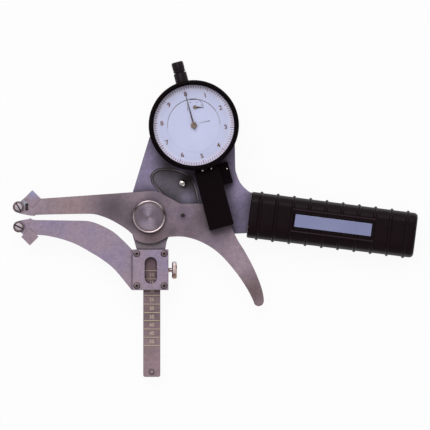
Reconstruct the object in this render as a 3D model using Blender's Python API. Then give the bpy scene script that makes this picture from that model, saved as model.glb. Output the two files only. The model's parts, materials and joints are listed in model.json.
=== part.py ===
"""Inside dial caliper with a pistol grip, lying on its back with the dial facing +Z.

The origin is on the lever's pivot axis, at the table. +X runs to the grip, -Y along the slide bar.
"""

import math

import bmesh
import bpy
from mathutils import Matrix, Vector

MM = 0.001

# Fits
GAP = 0.3 * MM  # between pieces that touch or turn in each other
OVERRUN = 1.0 * MM  # how far a cut runs past the face it starts from
WELD = 0.001 * MM  # points nearer than this are one
DIAL_SIDES = 48  # facets round the gauge's large rounds
HUB_SIDES = 32  # facets round the pivot's pieces
SCREW_SIDES = 12
STEM_SIDES = 24  # facets round the gauge's stem, cap and spindle
HOLE_SIDES = 12

# Small screws, in the bar's root, the case's back and the holder's ear
SMALL_SCREW_R = 1.3 * MM
SMALL_SCREW_SHANK_R = 0.7 * MM
SMALL_SCREW_SINK = 0.8 * MM

# Pivot
PIVOT_SHANK_R = 4.0 * MM
PIVOT_THREAD_R = 3.0 * MM
PIVOT_THREAD_LENGTH = 4.6 * MM
BUSH_WALL = 1.6 * MM
KNOB_R = 9.95 * MM
KNOB_FACE_R = 8.7 * MM
KNOB_HEIGHT = 3.0 * MM
KNOB_CHAMFER = 0.9 * MM
COVER_R = 14.0 * MM
COVER_WALL = 1.2 * MM
COVER_HEIGHT = 7.7 * MM
COVER_BOSS_R = 5.2 * MM
COVER_NOTCH_WIDTH = 4.5 * MM
COVER_NOTCH_DEPTH = 4.0 * MM
WASHER_R = 7.0 * MM
WASHER_THICK = 0.6 * MM
SPRING_COIL_R = 8.4 * MM
SPRING_WIRE_R = 0.5 * MM
SPRING_PITCH = 1.6 * MM
SPRING_TURNS = 2
SPRING_TURN_POINTS = 10

# Frame plate
FRAME_THICK = 4.0 * MM
NECK_LEFT = -7.7 * MM
NECK_RIGHT = 9.9 * MM
NECK_END_Y = -19.7 * MM
FRAME_SPAN = 50.0 * MM  # the size that the shares of the frame's outline follow
FRAME_HEAD_INSET = 2.1 * MM  # the plate's round head is this much smaller than the gauge's case
FRAME_HEAD_START = 162.0  # degrees, where the plate's side edges run into the round
FRAME_HEAD_END = 7.0
HEAD_STEPS = 16
POCKET_DEPTH = 2.2 * MM
POST_SHARES = (0.41, 0.41)  # of the frame's span, in the pocket
POST_R = 2.2 * MM
POST_WAIST_R = 1.5 * MM
POST_SEAT_R = 1.2 * MM
POST_STAND = 1.9 * MM  # above the frame's face
TANG_WIDTH = 13.0 * MM
TANG_LENGTH = 88.0 * MM

# Slide bar
BAR_X = 1.6 * MM
BAR_WIDTH = 10.4 * MM
BAR_END_Y = -97.8 * MM
BAR_CORNER_R = 1.2 * MM
BAR_LAP = 6.0 * MM
BAR_LAP_THICK = 1.85 * MM
BAR_SCREW_SPREAD = 5.2 * MM
STOP_PIN_R = 1.2 * MM
STOP_PIN_STAND = 1.6 * MM
STOP_PIN_INSET = 3.0 * MM
STOP_PIN_SHANK_R = 0.85 * MM

# Lever: upper jaw arm, hub and trigger in one plate
LEVER_THICK = 3.0 * MM
HUB_R = 16.4 * MM
ARM_REACH = 79.7 * MM  # pivot to the tip screw, along X; the arm's outline shares follow it
ARM_SCREW_Y = 5.9 * MM
TRIGGER_REACH = 54.6 * MM  # pivot to the trigger's lowest point; the trigger's outline shares follow it
LEVER_PIN_X = 20.6 * MM
LEVER_PIN_Y = 0.7 * MM
LEVER_PIN_R = 1.0 * MM
LEVER_PIN_TAIL = 3.2 * MM  # behind the frame's back
PIN_SLOT_BELOW = 6.0  # degrees that the pin can swing down in its slot
PIN_SLOT_ABOVE = 0.9
PAD_WIDTH = 5.0 * MM
PAD_LENGTH = 3.6 * MM
PAD_HEIGHT = 6.2 * MM
PAD_SEAT_DEPTH = 1.2 * MM

# Jaw ends
JAW_END_R = 3.5 * MM
TIP_HALF_DIAGONAL = 5.0 * MM
TIP_THICK = 1.9 * MM
TIP_POCKET_DEPTH = 2.0 * MM
UPPER_TIP_INSET = 8.5 * MM  # from the tip screw, towards the pivot
UPPER_TIP_Y = 10.9 * MM
LOWER_TIP_INSET = 6.8 * MM
LOWER_TIP_Y = -12.3 * MM
TIP_SCREW_R = 3.1 * MM
TIP_SCREW_HEAD = 1.3 * MM
TIP_SCREW_SHANK_R = 1.2 * MM
TIP_SCREW_SLOT = 0.8 * MM
LOWER_SCREW_Y = -6.2 * MM
LOWER_REACH = 79.5 * MM  # pivot to the lower tip screw, along X; the lower arm's shares follow it
CLAMP_SLIT_WIDTH = 1.6 * MM
CLAMP_SLIT_LENGTH = 4.2 * MM

# Slider
SLIDER_LEFT = -10.1 * MM
SLIDER_RIGHT = 11.8 * MM
SLIDER_TOP_Y = -20.0 * MM
SLIDER_LENGTH = 24.8 * MM
SLIDER_BACK = 3.2 * MM  # wall behind the bar
SLIDER_COVER_THICK = 2.0 * MM
SLIDER_COVER_BEVEL = 0.5 * MM
WINDOW_X = 1.05 * MM
WINDOW_WIDTH = 7.5 * MM
WINDOW_LENGTH = 16.3 * MM
WINDOW_Y = -32.75 * MM
COVER_SCREW_INSET = 2.6 * MM
COVER_SCREW_R = 1.8 * MM
COVER_SCREW_HEAD = 1.2 * MM
COVER_SCREW_SHANK_R = 0.75 * MM
COVER_SCREW_LENGTH = 7.5 * MM
GIB_THICK = 0.65 * MM
CLAMP_Y = -32.6 * MM
CLAMP_SHAFT_R = 1.3 * MM
CLAMP_STAND = 2.1 * MM
CLAMP_KNOB_R = 5.3 * MM
CLAMP_KNOB_WIDTH = 3.1 * MM
CLAMP_WAIST = 0.7 * MM

# Dial gauge
DIAL_X = 27.3 * MM
DIAL_Y = 55.6 * MM
GAUGE_TILT = 15.0  # degrees that the gauge's axis leans to -X
SPINDLE_HEIGHT = 6.5 * MM  # gauge axis above the case's back
CASE_R = 25.6 * MM
CASE_WALL = 1.6 * MM
CASE_HEIGHT = 13.0 * MM
CASE_BACK_THICK = 1.3 * MM
BACK_SCREW_INSET = 1.4 * MM  # from the case's bore
BACK_SCREW_COUNT = 4
CASE_LUG_R = 2.4 * MM
CASE_LUG_HEIGHT = 6.5 * MM
BEZEL_WALL = 1.9 * MM  # round the case
BEZEL_LAP = 1.1 * MM  # its opening is this much inside the case's wall
BEZEL_HEIGHT = 8.4 * MM
BEZEL_SKIRT = 2.0 * MM
BEZEL_LIP = 0.9 * MM
BEZEL_CHAMFER = 0.7 * MM
CRYSTAL_THICK = 1.2 * MM
DIAL_THICK = 0.6 * MM
DIAL_RING_WIDTH = 9.3 * MM
RING_STAND = 0.35 * MM  # the outer ring stands this much over the centre disc
STEM_R = 4.0 * MM
STEM_CLEAR = 2.5 * MM  # from the stem's end to the lever's pad
COLLAR_R = 3.95 * MM
COLLAR_STAND = 7.6 * MM  # out of the case
CAP_R = 3.65 * MM
CAP_LENGTH = 6.8 * MM
CAP_WALL = 0.9 * MM
CAP_ROUND = 0.7 * MM
SPINDLE_R = 2.1 * MM
POINT_R = 1.7 * MM
POINT_LENGTH = 3.4 * MM
RACK_BITE = 0.2 * MM  # how deep the rack's teeth are cut into the spindle's flank
RACK_LENGTH = 10.0 * MM
RACK_PINION_TEETH = 16
BIG_GEAR_TEETH = 100
CENTRE_PINION_TEETH = 10
HAIRSPRING_TEETH = 100
RACK_PITCH = 0.625 * MM  # sixteen of them are 10 mm, one turn of the rack pinion
WHEEL_CLEAR = 3.1 * MM  # from the wheels' outermost reach to the case's bore
GEAR_SHALLOW = 0.12 * MM  # teeth are cut this much short of their pitch circle
GEAR_THICK = 0.6 * MM
ARBOR_R = 0.5 * MM
PLATE_THICK = 0.8 * MM
PILLAR_R = 1.6 * MM
PILLAR_INSET = 2.3 * MM  # from the rear plate's edge
PILLAR_TURNS = (103.0, 145.0, 283.0, 325.0)  # degrees from the gauge's axis
HAIRSPRING_TURN = 200.0  # degrees from the gauge's axis to its arbor
HAIRSPRING_R = 4.5 * MM
HAIRSPRING_THICK = 0.5 * MM
RUNNING = 0.1 * MM  # clearance of the small arbors
DIAL_FOOT_R = 0.8 * MM
MAIN_HAND_LENGTH = 21.6 * MM
MAIN_HAND_TAIL = 4.5 * MM
MAIN_HUB_R = 1.9 * MM
MAIN_HAND_WIDTH = 0.9 * MM
SMALL_HAND_LENGTH = 5.0 * MM
SMALL_HUB_R = 1.1 * MM
SMALL_HAND_WIDTH = 0.7 * MM
HAND_THICK = 0.4 * MM

# Gauge holder
HOLDER_WIDTH = 15.3 * MM
HOLDER_STAND_OFF = 2.6 * MM  # from the case's wall, down the gauge's axis
HOLDER_END = 64.5 * MM
HOLDER_ASIDE = 0.4 * MM
HOLDER_HEIGHT = 13.2 * MM
HOLDER_LID = 1.6 * MM
HOLDER_STEP = 45.2 * MM  # past here the holder bridges over the lever
HOLDER_CAVITY_END = 61.0 * MM
HOLDER_CAVITY_WIDTH = 10.4 * MM
EAR_ASIDE = 14.1 * MM
EAR_LENGTH = 13.2 * MM
EAR_STAND_OFF = 1.0 * MM
EAR_HEIGHT = 7.0 * MM
EAR_SCREW_INSET = 4.8 * MM  # from the ear's end
EAR_SCREW_ASIDE = 12.1 * MM
EAR_SCREW_R = 1.4 * MM
EAR_SCREW_HEAD = 1.2 * MM
EAR_SCREW_LENGTH = 9.3 * MM
HOLDER_SCREW_R = 1.9 * MM
HOLDER_SCREW_SHANK_R = 1.2 * MM
HOLDER_SCREW_LENGTH = 8.0 * MM
HOLDER_SCREW_HEAD = 1.5 * MM
HOLDER_SCREW_ASIDE = 5.6 * MM
HOLDER_SCREW_INSET = 4.2 * MM  # from the step

# Grip
GRIP_X = 61.35 * MM
GRIP_Y = 1.2 * MM
GRIP_TURN = -7.2  # degrees
GRIP_LENGTH = 102.0 * MM
GRIP_HALF_WIDTH = 14.1 * MM
GRIP_FLAT_HALF = 9.0 * MM
GRIP_THICK = 20.0 * MM
GRIP_SIDE_HEIGHT = 3.2 * MM  # straight side above the split
GRIP_TAPER = 0.4 * MM
GRIP_END_ROUND = 2.4 * MM
RIB_COUNT = 10
RIB_PITCH = 10.0 * MM
RIB_FIRST = 5.8 * MM
RIB_WIDTH = 2.2 * MM
RIB_TOP = 1.0 * MM
RIB_HEIGHT = 0.9 * MM
NAME_PLATE_LENGTH = 47.0 * MM
NAME_PLATE_WIDTH = 7.7 * MM
NAME_PLATE_THICK = 0.6 * MM
NAME_PLATE_ALONG = 51.3 * MM
PANEL_LENGTH = 52.0 * MM
PANEL_WIDTH = 14.6 * MM
GRIP_SCREW_R = 2.6 * MM
GRIP_SCREW_HEAD = 1.8 * MM
GRIP_SCREW_SHANK_R = 1.5 * MM
GRIP_SCREW_LENGTH = 11.5 * MM
GRIP_SCREW_SINK = 1.2 * MM
GRIP_SCREW_SHARES = (0.13, 0.5, 0.8)  # of the tang's length, from the grip's front end

# Heights of the layers, table upwards
FRAME_BACK = COVER_HEIGHT + GAP
FRAME_FRONT = FRAME_BACK + FRAME_THICK
LEVER_BACK = FRAME_FRONT + GAP
LEVER_FRONT = LEVER_BACK + LEVER_THICK
KNOB_BACK = LEVER_FRONT + GAP
GRIP_SPLIT = GRIP_THICK / 2
CASE_BACK = FRAME_FRONT + GAP
SPINDLE_Z = CASE_BACK + SPINDLE_HEIGHT
CASE_TOP = CASE_BACK + CASE_HEIGHT
CASE_BORE_R = CASE_R - CASE_WALL
BACK_SCREW_RING = CASE_BORE_R - BACK_SCREW_INSET
REAR_PLATE_R = BACK_SCREW_RING - CASE_LUG_R - GAP
PILLAR_RING = REAR_PLATE_R - PILLAR_INSET
BEZEL_R = CASE_R + BEZEL_WALL
BEZEL_OPENING_R = CASE_R - BEZEL_LAP
DIAL_STEP_R = CASE_R - DIAL_RING_WIDTH
COLLAR_REACH = CASE_R + COLLAR_STAND
CAP_REACH = COLLAR_REACH + CAP_LENGTH
SPINDLE_TOP = COLLAR_REACH - GAP
RACK_MODULE = RACK_PITCH / math.pi
WHEEL_MODULE = (CASE_BORE_R - WHEEL_CLEAR) / (BIG_GEAR_TEETH + CENTRE_PINION_TEETH / 2)
GEAR_DISTANCE = (BIG_GEAR_TEETH + CENTRE_PINION_TEETH) * WHEEL_MODULE / 2
PINION_ASIDE = SPINDLE_R - RACK_BITE + RACK_PINION_TEETH * RACK_MODULE / 2
PINION_ALONG = math.sqrt(GEAR_DISTANCE ** 2 - PINION_ASIDE ** 2)
HOLDER_START = CASE_R + HOLDER_STAND_OFF
HOLDER_SCREW_ALONG = HOLDER_STEP - HOLDER_SCREW_INSET
EAR_START = CASE_R + EAR_STAND_OFF
EAR_END = EAR_START + EAR_LENGTH
EAR_SCREW_ALONG = EAR_END - EAR_SCREW_INSET
FRAME_HEAD_R = CASE_R - FRAME_HEAD_INSET
UPPER_TIP_X = UPPER_TIP_INSET - ARM_REACH
LOWER_TIP_X = LOWER_TIP_INSET - LOWER_REACH
POST_X = FRAME_SPAN * POST_SHARES[0]
POST_Y = FRAME_SPAN * POST_SHARES[1]
GEAR_LOW = SPINDLE_Z + SPINDLE_R + GAP
FRONT_PLATE_LOW = GEAR_LOW + GEAR_THICK + HAIRSPRING_THICK + 3 * GAP
DIAL_LOW = CASE_TOP + GAP
SMALL_HAND_LOW = DIAL_LOW + DIAL_THICK + GAP
MAIN_HAND_LOW = SMALL_HAND_LOW + HAND_THICK + 2 * GAP
BEZEL_LOW = CASE_TOP - BEZEL_SKIRT
BEZEL_TOP = BEZEL_LOW + BEZEL_HEIGHT

# Outlines, as shares of the size that each name gives
ARM_TOP_SHARES = (  # of the arm's reach
    (-0.962, 0.137), (-0.84, 0.137), (-0.458, 0.162), (-0.13, 0.187), (0.02, 0.197),
    (0.07, 0.19), (0.134, 0.156), (0.225, 0.107),
)
ARM_BOTTOM_SHARES = (  # of the arm's reach
    (-0.122, -0.14), (-0.184, -0.088), (-0.28, -0.031), (-0.355, 0.001), (-0.424, 0.019),
    (-0.526, 0.021), (-0.847, 0.014), (-0.868, 0.007), (-0.908, 0.008), (-0.977, 0.021),
)
TRIGGER_OUTER_SHARES = (  # of the trigger's reach
    (0.923, -0.117), (0.984, -0.251), (1.081, -0.408), (1.176, -0.592), (1.249, -0.773), (1.28, -0.907),
)
TRIGGER_TIP_SHARES = ((1.273, -0.973), (1.231, -1.0), (1.183, -0.984))
TRIGGER_INNER_SHARES = (  # of the trigger's reach
    (1.159, -0.93), (1.104, -0.821), (1.007, -0.67), (0.886, -0.518), (0.766, -0.397),
    (0.643, -0.313), (0.522, -0.258), (0.403, -0.227), (0.293, -0.222), (0.2, -0.23),
)
LEVER_CREST_SHARES = (  # of the trigger's reach, under the gauge holder
    (0.355, 0.144), (0.577, 0.147), (0.668, 0.17), (0.72, 0.196), (0.79, 0.172), (0.86, 0.03),
)
LOWER_TOP_SHARES = (  # of the lower arm's reach
    (-0.972, -0.026), (-0.93, -0.019), (-0.908, -0.013), (-0.877, -0.025), (-0.7, -0.029),
    (-0.527, -0.031), (-0.459, -0.036), (-0.39, -0.057), (-0.288, -0.108), (-0.219, -0.164), (-0.164, -0.218),
)
LOWER_BOTTOM_SHARES = (  # of the lower arm's reach
    (-0.136, -0.56), (-0.26, -0.41), (-0.356, -0.331), (-0.459, -0.267), (-0.562, -0.211),
    (-0.664, -0.174), (-0.774, -0.148), (-0.853, -0.141), (-0.965, -0.141),
)
FRAME_LEFT_SHARES = ((-0.225, -0.12), (-0.23, 0.1), (-0.196, 0.312), (0.0, 0.952))  # of the frame's span
FRAME_RIGHT_SHARES = (  # of the frame's span
    (1.046, 0.89), (1.052, 0.6), (1.066, 0.524), (1.112, 0.414), (1.188, 0.33), (1.24, 0.295), (1.256, 0.3),
)
FRAME_FOOT_SHARES = ((1.192, -0.202), (1.048, -0.208), (0.36, -0.208))  # of the frame's span
NECK_FLARE_SHARES = ((0.27, -0.222), (0.222, -0.28))
POCKET_SHARES = (  # of the frame's span
    (0.034, 0.41), (0.02, 0.486), (0.044, 0.536), (0.11, 0.582), (0.23, 0.592), (0.324, 0.578),
    (0.418, 0.546), (0.5, 0.49), (0.56, 0.4), (0.6, 0.26), (0.6, 0.13), (0.36, 0.11), (0.2, 0.22), (0.1, 0.33),
)


def clear_scene():
    for item in list(bpy.data.objects):
        bpy.data.objects.remove(item, do_unlink=True)


def finish(name, colour, roughness, metallic):
    made = bpy.data.materials.new(name)
    made.use_nodes = True
    shader = made.node_tree.nodes["Principled BSDF"]
    shader.inputs["Base Color"].default_value = (*colour, 1.0)
    shader.inputs["Roughness"].default_value = roughness
    shader.inputs["Metallic"].default_value = metallic
    return made


def smooth_run(points, steps=4):
    """A smooth line through the points, a cubic from each one to the next."""
    ends = [points[0]] + list(points) + [points[-1]]
    line = []
    for i in range(1, len(ends) - 2):
        for step in range(steps):
            t = step / steps
            spot = []
            for a, b, c, d in zip(ends[i - 1], ends[i], ends[i + 1], ends[i + 2]):
                bend = 2 * a - 5 * b + 4 * c - d
                spot.append((2 * b + (c - a) * t + bend * t * t + (3 * b - a - 3 * c + d) * t ** 3) / 2)
            line.append(tuple(spot))
    line.append(tuple(points[-1]))
    return line


def scaled(shares, size):
    return [(x * size, y * size) for x, y in shares]


def arc(centre, radius, start, end, steps):
    spots = []
    for step in range(steps + 1):
        turn = math.radians(start + (end - start) * step / steps)
        spots.append((centre[0] + radius * math.cos(turn), centre[1] + radius * math.sin(turn)))
    return spots


def gauge_spot(aside, along):
    """A plan point given across the gauge's axis and down it from the dial centre."""
    lean = math.radians(GAUGE_TILT)
    x = DIAL_X + aside * math.cos(lean) + along * math.sin(lean)
    y = DIAL_Y + aside * math.sin(lean) - along * math.cos(lean)
    return (x, y)


def grip_spot(along, across):
    turn = math.radians(GRIP_TURN)
    x = GRIP_X + along * math.cos(turn) - across * math.sin(turn)
    y = GRIP_Y + along * math.sin(turn) + across * math.cos(turn)
    return (x, y)


def prism(outline, low, high):
    """An outline in plan, filled and extruded from one height to another."""
    bm = bmesh.new()
    face = bm.faces.new([bm.verts.new((x, y, low)) for x, y in outline])
    grown = bmesh.ops.extrude_face_region(bm, geom=[face])
    lifted = [item for item in grown["geom"] if isinstance(item, bmesh.types.BMVert)]
    bmesh.ops.translate(bm, vec=(0, 0, high - low), verts=lifted)
    bmesh.ops.recalc_face_normals(bm, faces=bm.faces)
    return bm


def block(left, right, near, far, low, high):
    return prism([(left, near), (right, near), (right, far), (left, far)], low, high)


def turned(profile, spot=(0, 0), sides=HUB_SIDES):
    """A closed profile of (radius, height) points, spun about the vertical through the spot."""
    bm = bmesh.new()
    verts = [bm.verts.new((r, 0, z)) for r, z in profile]
    edges = [bm.edges.new((verts[i], verts[(i + 1) % len(verts)])) for i in range(len(verts))]
    bmesh.ops.spin(
        bm, geom=verts + edges, cent=(0, 0, 0), axis=(0, 0, 1), angle=math.tau, steps=sides, use_merge=True
    )
    bmesh.ops.remove_doubles(bm, verts=bm.verts, dist=WELD)
    bmesh.ops.recalc_face_normals(bm, faces=bm.faces)
    bmesh.ops.translate(bm, vec=(spot[0], spot[1], 0), verts=bm.verts)
    return bm


def rod(radius, low, high, spot=(0, 0), sides=STEM_SIDES):
    return prism(arc(spot, radius, 0, 360 - 360 / sides, sides - 1), low, high)


def slot_outline(centre, width, length, steps=8):
    """A round-ended slot that runs along Y."""
    half = (length - width) / 2
    top = arc((centre[0], centre[1] + half), width / 2, 0, 180, steps)
    return top + arc((centre[0], centre[1] - half), width / 2, 180, 360, steps)


def moved(bm, matrix):
    bmesh.ops.transform(bm, matrix=matrix, verts=bm.verts)
    return bm


def gauge_axis():
    """Takes the vertical through the origin to the gauge's axis, +Z towards the cap."""
    lean = math.radians(GAUGE_TILT)
    aside = Vector((math.cos(lean), math.sin(lean), 0))
    along = Vector((-math.sin(lean), math.cos(lean), 0))
    turn = Matrix((aside, along.cross(aside), along)).transposed().to_4x4()
    return Matrix.Translation((DIAL_X, DIAL_Y, SPINDLE_Z)) @ turn


def object_of(name, bm):
    mesh = bpy.data.meshes.new(name)
    bm.to_mesh(mesh)
    bm.free()
    made = bpy.data.objects.new(name, mesh)
    bpy.context.collection.objects.link(made)
    return made


def combined(bm, tools, operation):
    """The shape with each tool joined to it, or cut from it, one exact Boolean at a time."""
    work = object_of("work", bm)
    helpers = []
    for tool in tools:
        helper = object_of("helper", tool)
        helpers.append(helper)
        step = work.modifiers.new("step", "BOOLEAN")
        step.operation = operation
        step.solver = "EXACT"
        step.object = helper
    bpy.context.view_layer.update()
    graph = bpy.context.evaluated_depsgraph_get()
    mesh = bpy.data.meshes.new_from_object(work.evaluated_get(graph))
    result = bmesh.new()
    result.from_mesh(mesh)
    bpy.data.meshes.remove(mesh)
    for item in [work] + helpers:
        bpy.data.objects.remove(item, do_unlink=True)
    return result


def cut(bm, *tools):
    return combined(bm, tools, "DIFFERENCE")


def join(bm, *tools):
    return combined(bm, tools, "UNION")


def carrier(name, spot, parent=None):
    """An empty on a joint's axis, which carries the pieces that move together."""
    empty = bpy.data.objects.new(name, None)
    empty.empty_display_size = GAP
    empty.location = spot
    bpy.context.collection.objects.link(empty)
    if parent:
        empty.parent = parent
        empty.matrix_parent_inverse = Matrix.Translation(-parent.location)
    return empty


def piece(name, bm, surface, parent=None, smooth=True):
    made = object_of(name, bm)
    made.data.materials.clear()
    made.data.materials.append(surface)
    if smooth:
        made.data.shade_smooth()
        made.data.set_sharp_from_angle(angle=math.radians(30))
    if parent:
        spot = parent.location
        made.data.transform(Matrix.Translation(-spot))
        made.location = spot
        made.parent = parent
        made.matrix_parent_inverse = Matrix.Translation(-spot)
    return made


def screw(spot, seat, top, head_r, shank_r, foot, drive_width, drive_depth, hexagon=False):
    """A screw that points down: its head from seat to top, its shank down to foot."""
    profile = [(0, foot), (shank_r, foot), (shank_r, seat), (head_r, seat), (head_r, top), (0, top)]
    bm = turned(profile, spot, SCREW_SIDES)
    if hexagon:
        tool = rod(drive_width / 2, top - drive_depth, top + OVERRUN, spot, 6)
    else:
        reach = head_r + OVERRUN
        near, far = spot[1] - drive_width / 2, spot[1] + drive_width / 2
        tool = block(spot[0] - reach, spot[0] + reach, near, far, top - drive_depth, top + OVERRUN)
    return cut(bm, tool)


def rear_screw(spot, seat, foot, head_r, shank_r, tip, drive_width):
    """A screw that points up: its head from foot to seat, its shank up to tip."""
    profile = [(0, foot), (head_r, foot), (head_r, seat), (shank_r, seat), (shank_r, tip), (0, tip)]
    bm = turned(profile, spot, SCREW_SIDES)
    depth = (seat - foot) / 2
    reach = head_r + OVERRUN
    near, far = spot[1] - drive_width / 2, spot[1] + drive_width / 2
    return cut(bm, block(spot[0] - reach, spot[0] + reach, near, far, foot - OVERRUN, foot + depth))


def gear_outline(teeth, module, spot):
    """A wheel's rim of pointed teeth, held short of the pitch circle so that wheels never lock."""
    top = teeth * module / 2 - GEAR_SHALLOW
    root = top - module
    rim = []
    for tooth in range(teeth):
        for share, radius in ((0, root), (0.5, top)):
            turn = math.tau * (tooth + share) / teeth
            rim.append((spot[0] + radius * math.cos(turn), spot[1] + radius * math.sin(turn)))
    return rim


def frame_outline():
    left = smooth_run([(NECK_LEFT, NECK_END_Y)] + scaled(FRAME_LEFT_SHARES[:3], FRAME_SPAN))
    head = arc((DIAL_X, DIAL_Y), FRAME_HEAD_R, FRAME_HEAD_START, FRAME_HEAD_END, HEAD_STEPS)
    right = smooth_run(scaled(FRAME_RIGHT_SHARES, FRAME_SPAN))
    half = TANG_WIDTH / 2
    corners = ((-GAP, half), (TANG_LENGTH, half), (TANG_LENGTH, -half), (-GAP, -half))
    tang = [grip_spot(along, across) for along, across in corners]
    foot = scaled(FRAME_FOOT_SHARES, FRAME_SPAN)
    neck = smooth_run([foot[-1]] + scaled(NECK_FLARE_SHARES, FRAME_SPAN) + [(NECK_RIGHT, NECK_END_Y)])
    corner = scaled(FRAME_LEFT_SHARES[3:], FRAME_SPAN)
    return left + corner + head + right + tang + foot[:-1] + neck


def pin_slot():
    """The arc slot through the frame that the lever's pin tail swings in."""
    reach = math.hypot(LEVER_PIN_X, LEVER_PIN_Y)
    middle = math.degrees(math.atan2(LEVER_PIN_Y, LEVER_PIN_X))
    half = LEVER_PIN_R + GAP
    low, high = middle - PIN_SLOT_BELOW, middle + PIN_SLOT_ABOVE
    outer = arc((0, 0), reach + half, low, high, 8)
    inner = arc((0, 0), reach - half, high, low, 8)
    end = (reach * math.cos(math.radians(high)), reach * math.sin(math.radians(high)))
    start = (reach * math.cos(math.radians(low)), reach * math.sin(math.radians(low)))
    cap = arc(end, half, high, high + 180, 6)[1:-1]
    foot = arc(start, half, low + 180, low + 360, 6)[1:-1]
    return prism(outer + cap + inner + foot, FRAME_BACK - OVERRUN, FRAME_FRONT + OVERRUN)


def bar_screw_spots():
    y = NECK_END_Y + BAR_LAP / 2
    return [(BAR_X + side * BAR_SCREW_SPREAD / 2, y) for side in (-1, 1)]


def grip_screw_spots():
    return [grip_spot(share * TANG_LENGTH, 0) for share in GRIP_SCREW_SHARES]


def make_frame(steel, polished):
    low, high = FRAME_BACK - OVERRUN, FRAME_FRONT + OVERRUN
    tools = [
        rod(PIVOT_SHANK_R + BUSH_WALL + 2 * GAP, low, high, sides=HUB_SIDES),
        pin_slot(),
        prism(smooth_run(scaled(POCKET_SHARES + POCKET_SHARES[:1], FRAME_SPAN), 3)[:-1],
              FRAME_FRONT - POCKET_DEPTH, high),
        rod(POST_SEAT_R + GAP, low, high, (POST_X, POST_Y), HOLE_SIDES),
        block(BAR_X - BAR_WIDTH / 2 - GAP, BAR_X + BAR_WIDTH / 2 + GAP, NECK_END_Y - OVERRUN,
              NECK_END_Y + BAR_LAP + GAP, low, FRAME_BACK + BAR_LAP_THICK + GAP),
    ]
    for spot in bar_screw_spots():
        tools.append(rod(SMALL_SCREW_SHANK_R + GAP, low, FRAME_FRONT - GAP, spot, HOLE_SIDES))
    for spot in grip_screw_spots():
        tools.append(rod(GRIP_SCREW_SHANK_R + GAP, low, high, spot, HOLE_SIDES))
    for side in (-1, 1):
        spot = gauge_spot(HOLDER_ASIDE + side * HOLDER_SCREW_ASIDE, HOLDER_SCREW_ALONG)
        tools.append(rod(HOLDER_SCREW_SHANK_R + GAP, low, high, spot, HOLE_SIDES))
    tools.append(rod(SMALL_SCREW_SHANK_R + GAP, ear_screw_foot() - GAP, high, ear_screw_spot(), HOLE_SIDES))
    piece("frame_plate", cut(prism(frame_outline(), FRAME_BACK, FRAME_FRONT), *tools), steel)
    floor = FRAME_FRONT - POCKET_DEPTH
    post = turned([
        (0, FRAME_BACK), (POST_SEAT_R, FRAME_BACK), (POST_SEAT_R, floor + GAP), (POST_R, floor + GAP),
        (POST_R, floor + GAP + POST_R / 3), (POST_WAIST_R, floor + 2 * GAP + POST_R / 3),
        (POST_WAIST_R, FRAME_FRONT), (POST_R, FRAME_FRONT + POST_STAND / 4),
        (POST_R, FRAME_FRONT + POST_STAND / 2), (POST_R * 0.7, FRAME_FRONT + POST_STAND * 0.9),
        (0, FRAME_FRONT + POST_STAND),
    ], (POST_X, POST_Y), STEM_SIDES)
    piece("stop_post", post, polished)


def make_bar(steel, polished, black):
    left, right = BAR_X - BAR_WIDTH / 2, BAR_X + BAR_WIDTH / 2
    corner = BAR_CORNER_R
    outline = [(right, NECK_END_Y - GAP), (left, NECK_END_Y - GAP)]
    outline += arc((left + corner, BAR_END_Y + corner), corner, 180, 270, 5)
    outline += arc((right - corner, BAR_END_Y + corner), corner, 270, 360, 5)
    lap = block(left, right, NECK_END_Y - BAR_LAP, NECK_END_Y + BAR_LAP, FRAME_BACK,
                FRAME_BACK + BAR_LAP_THICK)
    pin_spot = (BAR_X, BAR_END_Y + STOP_PIN_INSET)
    tools = [rod(STOP_PIN_SHANK_R + GAP, FRAME_BACK - OVERRUN, FRAME_FRONT + OVERRUN, pin_spot, HOLE_SIDES)]
    for spot in bar_screw_spots():
        tools.append(rod(SMALL_SCREW_SHANK_R + GAP, FRAME_BACK - OVERRUN, FRAME_FRONT, spot, HOLE_SIDES))
        tools.append(rod(SMALL_SCREW_R + GAP, FRAME_BACK - OVERRUN, FRAME_BACK + SMALL_SCREW_SINK, spot,
                         HOLE_SIDES))
    piece("slide_bar", cut(join(prism(outline, FRAME_BACK, FRAME_FRONT), lap), *tools), steel)
    for number, spot in enumerate(bar_screw_spots()):
        shape = rear_screw(spot, FRAME_BACK + SMALL_SCREW_SINK - GAP, FRAME_BACK, SMALL_SCREW_R,
                           SMALL_SCREW_SHANK_R, FRAME_FRONT - 2 * GAP, SMALL_SCREW_SHANK_R)
        piece("bar_screw_" + "ab"[number], shape, black)
    top = FRAME_FRONT + GAP
    pin = turned([
        (0, FRAME_BACK), (STOP_PIN_SHANK_R, FRAME_BACK), (STOP_PIN_SHANK_R, top), (STOP_PIN_R, top),
        (STOP_PIN_R, top + STOP_PIN_STAND / 2), (STOP_PIN_R * 0.7, top + STOP_PIN_STAND * 0.85),
        (0, top + STOP_PIN_STAND),
    ], pin_spot, SCREW_SIDES)
    piece("bar_stop_pin", pin, polished)


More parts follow.
